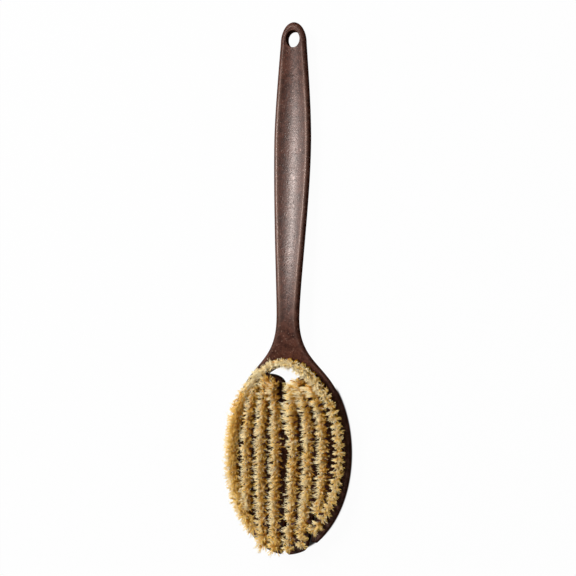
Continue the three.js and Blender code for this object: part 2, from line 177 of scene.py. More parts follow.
def new_object(name: str, vertices: Array, faces: Array) -> bpy.types.Object:
    """Smooth mesh object at the origin, linked to the scene.

    Args:
        name: the piece's name.
        vertices: (n, 3) places in the CAD frame.
        faces: (m, 3) or (m, 4) rows of vertex numbers, seen from outside against the clock.

    Returns:
        The new object.
    """
    sides = faces.shape[1]
    mesh = bpy.data.meshes.new(name)
    mesh.vertices.add(len(vertices))
    mesh.vertices.foreach_set("co", vertices.astype(np.float32).ravel())
    mesh.loops.add(faces.size)
    mesh.loops.foreach_set("vertex_index", faces.astype(np.int32).ravel())
    mesh.polygons.add(len(faces))
    mesh.polygons.foreach_set("loop_start", np.arange(0, faces.size, sides, dtype=np.int32))
    mesh.polygons.foreach_set("use_smooth", np.ones(len(faces), dtype=bool))
    mesh.update(calc_edges=True)
    piece = bpy.data.objects.new(name, mesh)
    bpy.context.scene.collection.objects.link(piece)
    return piece


def seat(piece: bpy.types.Object, node: str, material: bpy.types.Material) -> None:
    """Dress a piece, tie it to the brush and let it stand for its CAD node.

    Args:
        piece: the finished piece.
        node: CAD node that the piece replaces.
        material: the piece's finish.
    """
    piece.data.materials.append(material)
    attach(piece, BODY)
    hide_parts(node)
    LOG.info("%s: %d faces, stands for %s", piece.name, len(piece.data.polygons), node)


@dataclass
class BrushShape:
    """Sizes of the brush, and the formulas of its outline, side view, edges and cuts."""

    length: float
    head_width: float
    head_length: float = 150 * MM
    head_thickness: float = 8 * MM
    head_flat: float = 30 * MM
    dish_radius: float = 250 * MM
    head_rim_round: float = 1.6 * MM
    head_rim_drop: float = 3 * MM
    head_back_round: float = 3 * MM
    rim_power: float = 1.15

    flare_start: float = 55 * MM
    flare_head_tangent: float = 19 * MM
    flare_neck_tangent: float = 27 * MM

    neck_at: float = 178 * MM
    neck_width: float = 17.5 * MM
    neck_thickness: float = 10.5 * MM
    neck_height: float = 18.4 * MM
    neck_tangent: float = 22 * MM
    grip_at: float = 309 * MM
    grip_width: float = 28.5 * MM
    grip_thickness: float = 12.8 * MM
    grip_neck_tangent: float = 46 * MM
    grip_tip_tangent: float = 22 * MM
    tip_width: float = 20 * MM
    tip_length: float = 16 * MM
    tip_thickness: float = 9.6 * MM
    tip_height: float = 14.5 * MM
    tip_slope: float = 0.04
    tip_tangent: float = 20 * MM
    tip_taper: float = 0.08
    handle_rim_round: float = 2.5 * MM
    handle_rim_drop: float = 3.9 * MM
    scoop_radius: float = 28 * MM
    scoop_fade: float = 24 * MM

    hole_width: float = 10.4 * MM
    hole_length: float = 12.4 * MM
    hole_to_tip: float = 6.6 * MM

    slit_width: float = 2.2 * MM
    slit_to_opening: float = 21 * MM
    outer_corner: float = 4 * MM
    inner_corner: float = 1.5 * MM
    least_corner: float = 0.2 * MM
    cut_round: float = 0.7 * MM
    meet_above: float = 5 * MM
    meet_below: float = 27 * MM
    arch_row_to_edge: float = 3.5 * MM
    arch_row_to_opening: float = 4.9 * MM
    opening_width: float = 33 * MM
    opening_height: float = 6.6 * MM
    funnel_to_opening: float = 8 * MM
    funnel_length: float = 25 * MM
    funnel_width: float = 7.4 * MM
    shoulder_rise: float = 4.5 * MM
    shoulder_run: float = 8 * MM

    curve_steps: int = 20
    slope_step: float = 0.5 * MM

    def __post_init__(self) -> None:
        """Work out the places that follow from the sizes, and the sampled curves."""
        self.head_half = self.head_width / 2
        self.head_middle = self.head_length / 2
        self.tip_middle = self.length - self.tip_length
        self.arch_rise = self.head_middle - self.arch_row_to_edge
        self.head_top = self.head_middle + self.arch_rise
        self.opening_top = self.head_top - self.arch_row_to_opening
        self.corner_s = self.opening_top - self.opening_height
        self.funnel_end = self.corner_s - self.funnel_to_opening
        self.funnel_start = self.funnel_end - self.funnel_length
        self.slit_top = self.corner_s - self.slit_to_opening
        self.slit_offset = self.head_half / 2
        self.hole_middle = self.length - self.hole_to_tip - self.hole_length / 2
        self.hole_foot = self.hole_middle - self.hole_length
        self.outline = self.outline_table()
        self.slit_line = self.slit_points()
        self.opening_line = self.opening_points()

    def outline_table(self) -> Array:
        """Half-width of the outline between the head's ellipse and the tip's.

        Returns:
            Rows of place along the brush, half-width and the outline's run along the brush, from
            three Bezier curves: the flare, neck to grip, and grip to tip.
        """
        sine = self.flare_start / self.head_middle
        cosine = math.sqrt(1.0 - sine**2)
        foot = (self.head_half * cosine, self.head_middle + self.flare_start)
        way = np.array((-self.head_half * sine, self.head_middle * cosine))
        way *= self.flare_head_tangent / np.linalg.norm(way)
        neck = (self.neck_width / 2, self.neck_at)
        grip = (self.grip_width / 2, self.grip_at)
        tip = (self.tip_width / 2, self.tip_middle)
        curves = [
            [foot, (foot[0] + way[0], foot[1] + way[1]),
             (neck[0], neck[1] - self.flare_neck_tangent), neck],
            [neck, (neck[0], neck[1] + self.neck_tangent),
             (grip[0], grip[1] - self.grip_neck_tangent), grip],
            [grip, (grip[0], grip[1] + self.grip_tip_tangent),
             (tip[0] + self.tip_taper * self.tip_tangent, tip[1] - self.tip_tangent), tip],
        ]
        stretches = [bezier(c, 4 * self.curve_steps)[:-1] for c in curves]
        points = np.concatenate(stretches + [np.array([tip])])
        slope = np.gradient(points[:, 0], points[:, 1])
        return np.stack([points[:, 1], points[:, 0], 1.0 / np.sqrt(1.0 + slope**2)])

    def half_and_run(self, s: Array) -> tuple[Array, Array]:
        """Half-width of the outline, and the outline's run along the brush."""
        return np.interp(s, *self.outline[:2]), np.interp(s, self.outline[0], self.outline[2])

    def line_x(self, offset: float, s: Array) -> Array:
        """Place across of a line of the head.

        Args:
            offset: the line's distance from the brush's middle, halfway along the head.
            s: places along the brush.

        Returns:
            The line's x, an ellipse arc about the head's middle.
        """
        rise = s - self.head_middle
        span = self.head_middle + np.where(rise > 0, self.meet_above, self.meet_below)
        return offset * np.sqrt(np.maximum(1.0 - (rise / span) ** 2, 0.0))

    def funnel(self, s: Array) -> Array:
        """Extra half-width of the middle slit as it opens towards the leaf-shaped opening."""
        wider = (self.funnel_width - self.slit_width) / 2
        return wider * smooth_step(self.funnel_start, self.funnel_end, s)

    def slit_points(self) -> Array:
        """Middle line of the right side slit, from beyond the head's end to its round top."""
        s = np.linspace(-self.slit_width, self.slit_top, 2 * self.curve_steps)
        return np.stack([self.line_x(self.slit_offset, s), s], 1)

    def opening_points(self) -> Array:
        """Right edge of the middle cut.

        Returns:
            Points up the slit and its funnel, over the finger's round shoulder to the opening's
            corner, and back along the arch to the middle.
        """
        corner = (self.opening_width / 2, self.corner_s)
        s = np.linspace(-self.slit_width, self.funnel_end, 3 * self.curve_steps)[:-1]
        slit = np.stack([self.slit_width / 2 + self.funnel(s), s], 1)
        mouth = self.funnel_width / 2
        controls = [(mouth, self.funnel_end), (mouth, self.funnel_end + self.shoulder_rise),
                    (corner[0] - self.shoulder_run, corner[1]), corner]
        shoulder = bezier(controls, self.curve_steps)[:-1]
        t = np.linspace(0.0, 1.0, self.curve_steps)
        arch = np.stack([corner[0] * (1.0 - t), corner[1] + self.opening_height * t * (2.0 - t)], 1)
        return np.concatenate([slit, shoulder, arch])

    def face_height(self, s: Array) -> Array:
        """Height of the front face along the brush's middle.

        Args:
            s: places along the brush.

        Returns:
            A flat-bottomed dish on the head, then cubics to the neck, the grip and the tip.
        """
        run = np.maximum(np.abs(s - self.head_middle) - self.head_flat / 2, 0.0)
        dish = self.head_thickness + run**2 / (2 * self.dish_radius)
        reach = self.arch_rise - self.head_flat / 2
        top_height = self.head_thickness + reach**2 / (2 * self.dish_radius)
        top = (self.head_top, top_height, reach / self.dish_radius)
        neck = (self.neck_at, self.neck_height, 0.0)
        grip = (self.grip_at, self.grip_thickness, 0.0)
        tip = (self.length, self.tip_height, self.tip_slope)
        places = [s <= self.head_top, s <= self.neck_at, s <= self.grip_at]
        return np.select(places, [dish, cubic(top, neck, s), cubic(neck, grip, s)], cubic(grip, tip, s))

    def handle_share(self, s: Array) -> Array:
        """How far the section has turned from the head's slab to the handle's section."""
        return smooth_step(self.head_middle + self.flare_start, self.neck_at, s)

    def thickness(self, s: Array) -> Array:
        """Thickness of the brush along its middle.

        Args:
            s: places along the brush.

        Returns:
            The head's thickness, eased to the neck's, the grip's and the tip's.
        """
        neck = blend(self.head_thickness, self.neck_thickness, self.handle_share(s))
        grip = blend(neck, self.grip_thickness, smooth_step(self.neck_at, self.grip_at, s))
        return blend(grip, self.tip_thickness, smooth_step(self.grip_at, self.tip_middle, s))

    def rim(self, s: Array) -> tuple[Array, Array]:
        """Width and drop of the rim round the front face."""
        sizes = ((self.head_rim_round, self.handle_rim_round), (self.head_rim_drop, self.handle_rim_drop))
        return tuple(blend(*ends, self.handle_share(s)) for ends in sizes)

    @staticmethod
    def ellipse_depth(x: Array, rise: Array, half: float, reach: float) -> Array:
        """Depth inside an ellipse.

        Args:
            x: places across, from the middle.
            rise: places along, from the middle.
            half: half-width.
            reach: half-length.

        Returns:
            The value of the ellipse's equation over twice the length of its slope at that rise.
        """
        sine = np.clip(rise / reach, -1.0, 1.0)
        norm = np.sqrt((half * sine) ** 2 + reach**2 * (1.0 - sine**2))
        return half * reach * (1.0 - (x / half) ** 2 - (rise / reach) ** 2) / (2.0 * norm)

    def edge_depth(self, x: Array, s: Array) -> Array:
        """Depth inside the outline.

        Args:
            x: places across the brush.
            s: places along the brush.

        Returns:
            The depth inside the head's and the tip's ellipse, and between them half-width² less x²,
            times the outline's run, over twice the half-width.
        """
        half, run = self.half_and_run(s)
        middle = (half**2 - x**2) * run / (2.0 * half)
        head = self.ellipse_depth(x, s - self.head_middle, self.head_half, self.head_middle)
        tip = self.ellipse_depth(x, s - self.tip_middle, self.tip_width / 2, self.tip_length)
        return np.select([s < self.outline[0][0], s > self.tip_middle], [head, tip], middle)

    def deepest(self, s: Array) -> Array:
        """Depth of the outline's middle line."""
        half, run = self.half_and_run(s)
        return half * run / 2.0

    def cut_depth(self, x: Array, s: Array) -> Array:
        """Depth of each place beyond the edges of the cuts.

        Args:
            x: places across the brush.
            s: places along the brush.

        Returns:
            The distance to the nearest slit, opening or hole, negative inside it.
        """
        across = np.abs(x)
        side = line_distance(across, s, self.slit_line) - self.slit_width / 2
        top = self.opening_line[:, 1].argmax()
        edge = np.interp(s, self.opening_line[: top + 1, 1], self.opening_line[: top + 1, 0])
        inside = (across < edge) & (s < self.opening_top)
        arch = self.corner_s + self.opening_height * (1.0 - (2.0 * across / self.opening_width) ** 2)
        inside &= (s < self.corner_s) | (s < arch)
        middle = line_distance(across, s, self.opening_line) * np.where(inside, -1.0, 1.0)
        hole = -self.ellipse_depth(x, s - self.hole_middle, self.hole_width / 2, self.hole_length / 2)
        return np.minimum(np.minimum(side, middle), hole)

    def depths(self, x: Array, s: Array) -> tuple[Array, Array, Array]:
        """Depths inside the brush's edges.

        Args:
            x: places across the brush.
            s: places along the brush.

        Returns:
            The depth inside the outline, inside the cuts, and inside both with rounded corners.
        """
        edge = self.edge_depth(x, s)
        cut = self.cut_depth(x, s)
        outside = np.abs(x) > self.line_x(self.slit_offset, s)
        corner = np.where(outside, self.outer_corner, self.inner_corner)
        meet = rounded_meet(edge, cut, np.where(s < self.head_middle, corner, self.least_corner))
        excess = np.minimum(edge, cut) - meet
        return edge - excess, cut - excess, meet

    def crest_width(self, x: Array, s: Array) -> Array:
        """Width of the nearest edge's profile.

        Args:
            x: places across the brush.
            s: places along the brush.

        Returns:
            The rim's width, eased to the cuts' at the corners.
        """
        edge, cut, _ = self.depths(x, s)
        share = smooth_step(-self.head_rim_round, self.head_rim_round, cut - edge)
        return blend(self.cut_round, self.rim(s)[0], share)

    def front(self, x: Array, s: Array) -> Array:
        """Height of the front.

        Args:
            x: places across the brush.
            s: places along the brush.

        Returns:
            The face's height, less its rim or cut edge and the handle's scoop.
        """
        edge, cut, _ = self.depths(x, s)
        width, drop = self.rim(s)
        rim = drop * (1.0 - edge_rise(edge, width, self.rim_power))
        lip = self.cut_round * (1.0 - edge_rise(cut, self.cut_round, 2.0))
        scooped = smooth_step(self.neck_at - self.scoop_fade, self.neck_at + self.scoop_fade, s)
        half, run = self.half_and_run(s)
        hollow = scooped * np.maximum(edge - width, 0.0) * half / (run * self.scoop_radius)
        return self.face_height(s) - np.maximum(rim, lip) - hollow

    def back(self, x: Array, s: Array) -> Array:
        """Height of the back.

        Args:
            x: places across the brush.
            s: places along the brush.

        Returns:
            A flat with a round edge on the head, eased to a round section on the handle.
        """
        edge, cut, _ = self.depths(x, s)
        share = self.handle_share(s)
        drop = self.thickness(s) - self.rim(s)[1]
        full = np.where(s > self.tip_middle, self.tip_width / 4, self.deepest(s))
        lift = drop * (1.0 - edge_rise(edge, blend(self.head_back_round, full, share), 2.0 - share))
        lip = self.cut_round * (1.0 - edge_rise(cut, self.cut_round, 2.0))
        return self.face_height(s) - self.thickness(s) + np.maximum(lift, lip)

    def face_normal(self, s: Array) -> Array:
        """Unit normals of the dished face.

        Args:
            s: places along the brush.

        Returns:
            The normals along the brush's middle, from the face's slope over a small step.
        """
        step = self.slope_step
        slope = (self.face_height(s + step) - self.face_height(s - step)) / (2 * step)
        normal = np.stack([np.zeros_like(s), -slope, np.ones_like(s)], -1)
        return normal / np.linalg.norm(normal, axis=-1, keepdims=True)


@dataclass
class BrushBody:
    """The moulded body: a plan grid with a rolled edge, lifted to the front and the back."""

    shape: BrushShape
    pitch: float = 0.85 * MM
    fine_pitch: float = 0.5 * MM
    handle_pitch: float = 1.1 * MM
    grid_edge: float = 1.1
    tip_edge: float = 0.9 * MM
    ring_shares: tuple[float, ...] = (1.0, 0.62, 0.28, 0.07, 0.0)
    least_wall: float = 0.05 * MM
    snap_passes: int = 4
    snap_step: float = 0.02 * MM
    least_slope: float = 0.2
    polish_rise: Pair = (150 * MM, 250 * MM)
    polish_fall: Pair = (290 * MM, 385 * MM)
    tip_wear: float = 0.85
    crest_blur: float = 0.32
    wall_fade: Pair = (0.35, 0.92)

    def roll_width(self, s: Array) -> Array:
        """Width of the rolled edge: the rim's, but narrow beside the hanging hole."""
        narrow = smooth_step(self.shape.hole_foot, self.shape.hole_foot + self.shape.hole_length / 2, s)
        return blend(self.shape.rim(s)[0], self.tip_edge, narrow)

    def depth(self, x: Array, s: Array) -> Array:
        """Depth inside the outline and the cuts."""
        return self.shape.depths(x, s)[2]

    def inset(self, x: Array, s: Array) -> Array:
        """Depth beyond the line where the grid ends and the rolled edge begins."""
        return self.depth(x, s) - self.grid_edge * self.roll_width(s)

    def move_to(self, kind: PlanDepth, level: Array, x: Array, s: Array) -> tuple[Array, Array]:
        """Move places down or up a depth's slope until it has the wanted level.

        Args:
            kind: function of x and s that gives the depth.
            level: wanted depth of each place.
            x: places across.
            s: places along.

        Returns:
            The moved places, after a few Newton steps of at most a pitch each.
        """
        small = self.snap_step
        for _ in range(self.snap_passes):
            across = (kind(x + small, s) - kind(x - small, s)) / (2 * small)
            along = (kind(x, s + small) - kind(x, s - small)) / (2 * small)
            size = np.maximum(np.hypot(across, along), self.least_slope)
            step = np.clip((level - kind(x, s)) / size, -self.pitch, self.pitch)
            x = x + step * across / size
            s = s + step * along / size
        return x, s

    def cells(self) -> tuple[Array, Array, Array]:
        """Plan grid of the brush, finer along its middle and at its tip.

        Returns:
            Places across and along of the grid's points, and a mask of the cells whose middle lies
            inside the rolled edge.
        """
        shape = self.shape
        inner = np.arange(0.0, shape.tip_width / 2, self.fine_pitch)
        outer = np.arange(inner[-1] + self.pitch, shape.head_half, self.pitch)
        x = np.concatenate([-outer[::-1], -inner[:0:-1], inner, outer])
        head = np.arange(0.0, shape.neck_at, self.pitch)
        handle = np.arange(head[-1] + self.handle_pitch, shape.hole_foot, self.handle_pitch)
        tip = np.arange(handle[-1] + self.fine_pitch, shape.length, self.fine_pitch)
        s = np.concatenate([head, handle, tip])
        grid_x, grid_s = np.meshgrid(x, s, indexing="ij")
        middle_x = (grid_x[:-1, :-1] + grid_x[1:, 1:]) / 2
        middle_s = (grid_s[:-1, :-1] + grid_s[1:, 1:]) / 2
        kept = (self.inset(middle_x.ravel(), middle_s.ravel()) > 0).reshape(middle_x.shape)
        padded = np.pad(kept, 1).astype(int)
        beside = padded[:-2, 1:-1] + padded[2:, 1:-1] + padded[1:-1, :-2] + padded[1:-1, 2:]
        return grid_x, grid_s, kept & (beside > 1)

    @staticmethod
    def corners(number: Array) -> tuple[Array, ...]:
        """Numbers of each cell's corners, against the clock from its low one."""
        return number[:-1, :-1], number[1:, :-1], number[1:, 1:], number[:-1, 1:]

    def border(self, kept: Array, number: Array) -> Array:
        """Edges of the kept cells that meet no other kept cell.

        Args:
            kept: mask of the kept cells.
            number: numbers of the grid's points.

        Returns:
            Rows of two point numbers, with the cell on the left of the way between them.
        """
        padded = np.pad(kept, 1)
        besides = (padded[1:-1, :-2], padded[2:, 1:-1], padded[1:-1, 2:], padded[:-2, 1:-1])
        starts = self.corners(number)
        found = []
        for beside, start, end in zip(besides, starts, starts[1:] + starts[:1]):
            open_side = kept & ~beside
            found.append(np.stack([start[open_side], end[open_side]], 1))
        return np.concatenate(found)

    def build(self) -> bpy.types.Object:
        """Body's mesh.

        Returns:
            The piece: grid cells on the front and the back, strips of the rolled edge along each
            border edge, and the wall between their last rings.
        """
        grid_x, grid_s, kept = self.cells()
        number = np.arange(grid_x.size).reshape(grid_x.shape)
        quads = np.stack([corner[kept] for corner in self.corners(number)], 1)
        edges = self.border(kept, number)
        used, quads = np.unique(quads, return_inverse=True)
        quads = quads.reshape(-1, 4)
        edges = np.searchsorted(used, edges)
        x, s = grid_x.ravel()[used], grid_s.ravel()[used]
        rim = np.unique(edges)
        x[rim], s[rim] = self.move_to(self.inset, np.zeros(len(rim)), x[rim], s[rim])

        width = np.minimum(self.shape.crest_width(x[rim], s[rim]), self.roll_width(s[rim]))
        ring_x, ring_s = [x], [s]
        at_x, at_s = x[rim], s[rim]
        for share in self.ring_shares:
            at_x, at_s = self.move_to(self.depth, share * width, at_x, at_s)
            ring_x.append(at_x)
            ring_s.append(at_s)
        plan_x, plan_s = np.concatenate(ring_x), np.concatenate(ring_s)
        front = self.shape.front(plan_x, plan_s) + self.least_wall
        back = np.minimum(self.shape.back(plan_x, plan_s), front - 2 * self.least_wall)
        row_y = plan_s - self.shape.length / 2
        vertices = np.concatenate([np.stack([plan_x, row_y, z], 1) for z in (front, back)])

        local = np.searchsorted(rim, edges)
        rings = [edges] + [len(used) + k * len(rim) + local for k in range(len(self.ring_shares))]
        strips = [np.stack([b[:, 0], b[:, 1], a[:, 1], a[:, 0]], 1) for a, b in zip(rings, rings[1:])]
        faces = np.concatenate([quads] + strips)
        under = faces[:, ::-1] + len(plan_x)
        last = rings[-1]
        wall = np.stack([last[:, 0], last[:, 1], last[:, 1], last[:, 0]], 1)
        wall[:, :2] += len(plan_x)
        piece = new_object("body", vertices, np.concatenate([faces, under, wall]))
        self.mark_crest_gloss_and_side(piece, plan_x, plan_s)
        return piece

    def dress(self, finish: bpy.types.Material) -> None:
        """Build the body and give it its finish and node."""
        seat(self.build(), "brush_body", finish)

    def mark_crest_gloss_and_side(self, piece: bpy.types.Object, x: Array, s: Array) -> None:
        """Write the values that the finish reads, one for each vertex of the front and the back.

        Args:
            piece: the body.
            x: places across of the front's vertices.
            s: places along of the front's vertices.
        """
        depth = self.depth(x, s) / self.shape.crest_width(x, s)
        # The crest value places the finish's pale crest line: rubbed wear and a painted highlight.
        crest = np.exp(-(((depth - 1.0) / self.crest_blur) ** 2))
        side = 1.0 - smooth_step(*self.wall_fade, depth)
        dull = self.tip_wear * smooth_step(*self.polish_fall, s)
        polish = smooth_step(*self.polish_rise, s) * (1.0 - dull)
        marks = {"crest": (crest, 0.0 * crest), "side": (side, side), "polish": (polish, polish)}
        for name, values in marks.items():
            attribute = piece.data.attributes.new(name, "FLOAT", "POINT")
            attribute.data.foreach_set("value", np.concatenate(values).astype(np.float32))


@dataclass
class TuftRows:
    """Places of the tufts: four rows on each half of the head, the outer one closed over the arch."""

    shape: BrushShape
    edge_to_row: float = 7.4 * MM
    slit_to_row: float = 4.5 * MM
    middle_to_row: float = 5.8 * MM
    row_clearance: float = 5 * MM
    row_to_end: float = 4.8 * MM
    foot_at: float = 10 * MM
    third_to_opening: float = 4.5 * MM
    fourth_to_opening: float = 7 * MM
    pitch: float = 5.2 * MM
    edge_steps: int = 600
    row_steps: int = 400

    def spaced(self, x: Array, s: Array, over_arch: bool) -> Array:
        """Tufts at an even pitch along a row.

        Args:
            x: dense places of the row across the head.
            s: dense places of the row along the head.
            over_arch: True for the row that closes over the arch, which stops half a pitch short.

        Returns:
            Rows of x, s and the row's unit direction.
        """
        length = np.concatenate([[0.0], np.cumsum(np.hypot(np.diff(x), np.diff(s)))])
        short = 0.5 if over_arch else 0.0
        count = round(length[-1] / self.pitch - short)
        at = np.arange(count + 1) / (count + short) * length[-1]
        way = np.stack([np.gradient(x, length), np.gradient(s, length)])
        return np.stack([np.interp(at, length, a) for a in (x, s, *way)], 1)

    def inner_offsets(self) -> Pair:
        """Offsets of the inner finger's two rows from the brush's middle line."""
        half = self.shape.slit_width / 2
        return self.shape.slit_offset - half - self.slit_to_row, half + self.middle_to_row

    def meeting(self, offset: float, half: float, reach: float, span: float) -> float:
        """Rise at which a line of the head meets an ellipse about the head's middle."""
        share = (offset / half) ** 2
        return math.sqrt((1.0 - share) / (1.0 / reach**2 - share / span**2))

    def finger(self, finger: Finger) -> list[Array]:
        """Tufts of the two rows of one finger, on the right half of the head."""
        return self.outer_rows() if finger is Finger.OUTER else self.inner_rows()

    def outer_rows(self) -> list[Array]:
        """Rows of the outer finger.

        Returns:
            The edge row, an ellipse inside the outline that closes over the arch, and the second
            row, beside the side slit and between its meetings with a line clear of the edge row.
        """
        shape = self.shape
        middle, clear = shape.head_middle, self.row_clearance
        row_half, row_fall = shape.head_half - self.edge_to_row, middle - self.edge_to_row
        slit_half = shape.slit_width / 2
        foot = shape.line_x(shape.slit_offset, np.array(self.foot_at)) + slit_half + shape.outer_corner
        angle = np.linspace(-math.acos(float(foot) / row_half), math.pi / 2, self.edge_steps)
        reach = np.where(angle > 0, shape.arch_rise, row_fall)
        edge_row = self.spaced(row_half * np.cos(angle), middle + reach * np.sin(angle), True)
        offset = shape.slit_offset + slit_half + self.slit_to_row
        half = row_half - clear
        fall = self.meeting(offset, half, row_fall - clear, middle + shape.meet_below)
        rise = self.meeting(offset, half, shape.arch_rise - clear, middle + shape.meet_above)
        s = np.linspace(middle - fall, middle + rise, self.row_steps)
        return [edge_row, self.spaced(shape.line_x(offset, s), s, False)]

    def inner_rows(self) -> list[Array]:
        """Rows of the inner finger.

        Returns:
            The third and the fourth row, from near the head's end to below the opening. The fourth
            follows the funnel of the middle slit.
        """
        shape = self.shape
        middle, end = shape.head_middle, self.row_to_end
        tops = (self.third_to_opening, self.fourth_to_opening)
        found = []
        for offset, top, widen in zip(self.inner_offsets(), tops, (0.0, 1.0)):
            fall = self.meeting(offset, shape.head_half - end, middle - end, middle + shape.meet_below)
            s = np.linspace(middle - fall, shape.corner_s - top, self.row_steps)
            found.append(self.spaced(shape.line_x(offset, s) + widen * shape.funnel(s), s, False))
        return found


@dataclass(frozen=True)
class RowLean:
    """Lean of a row's tufts: none at one place along the brush, full at another."""

    start: float
    full: float
    across: float
    along: float

    def at(self, s: Array) -> Array:
        """Shift of the fibres' tips across and along their row."""
        return smooth_step(self.start, self.full, s)[:, None] * np.array((self.across, self.along))


FINGER_ROWS = {Finger.OUTER: (Row.EDGE, Row.SECOND), Finger.INNER: (Row.THIRD, Row.FOURTH)}
UPPER_LEANS = {
    (Side.LEFT, Row.EDGE): RowLean(118 * MM, 132 * MM, 0 * MM, 0 * MM),
    (Side.LEFT, Row.SECOND): RowLean(112 * MM, 132 * MM, 1 * MM, 1 * MM),
    (Side.LEFT, Row.THIRD): RowLean(112 * MM, 132 * MM, -2.5 * MM, 5 * MM),
    (Side.LEFT, Row.FOURTH): RowLean(112 * MM, 128 * MM, -2 * MM, 2 * MM),
    (Side.RIGHT, Row.EDGE): RowLean(118 * MM, 132 * MM, -1.2 * MM, 0 * MM),
    (Side.RIGHT, Row.SECOND): RowLean(108 * MM, 128 * MM, -4 * MM, 4 * MM),
    (Side.RIGHT, Row.THIRD): RowLean(104 * MM, 129 * MM, -3.6 * MM, 2.5 * MM),
    (Side.RIGHT, Row.FOURTH): RowLean(84 * MM, 112 * MM, -3.5 * MM, 0.5 * MM),
}
END_LEANS = {
    (Side.LEFT, Finger.OUTER): RowLean(30 * MM, 10 * MM, 0 * MM, -6.5 * MM),
    (Side.LEFT, Finger.INNER): RowLean(24 * MM, 6 * MM, 1 * MM, -1.8 * MM),
    (Side.RIGHT, Finger.OUTER): RowLean(34 * MM, 16 * MM, -1 * MM, -2 * MM),
    (Side.RIGHT, Finger.INNER): RowLean(20 * MM, 6 * MM, 0.5 * MM, -0.5 * MM),
}


@dataclass(frozen=True)
class TuftPlan:
    """What is settled for each tuft before its fibres are drawn.

    `foot`, `up`, `across` and `along` are its place and directions, `lean` the shift of its tips and
    `fan` the reach of its fan across the row. `arch`, `even` and `teeth` say how far it belongs to
    the arch, to a smooth band and to the pointed teeth of the right edge.
    """

    foot: Array
    up: Array
    across: Array
    along: Array
    lean: Array
    fan: Array
    tone: Array
    arch: Array
    even: Array
    teeth: Array

    @property
    def calm(self) -> Array:
        """How far the tuft keeps its fibres in order."""
        return np.maximum(self.even, self.teeth)


@dataclass(frozen=True)
class LockPlan:
    """Where each fibre belongs in its tuft, shared by the few fibres of a lock.

    `wide` and `narrow` are its place in the fan, `short` and `lean` its lock's length and lean,
    `turn` the way its tip curls and `stray` marks the locks that reach out into the gap.
    """

    wide: Array
    narrow: Array
    short: Array
    turn: Array
    stray: Array
    lean: Array


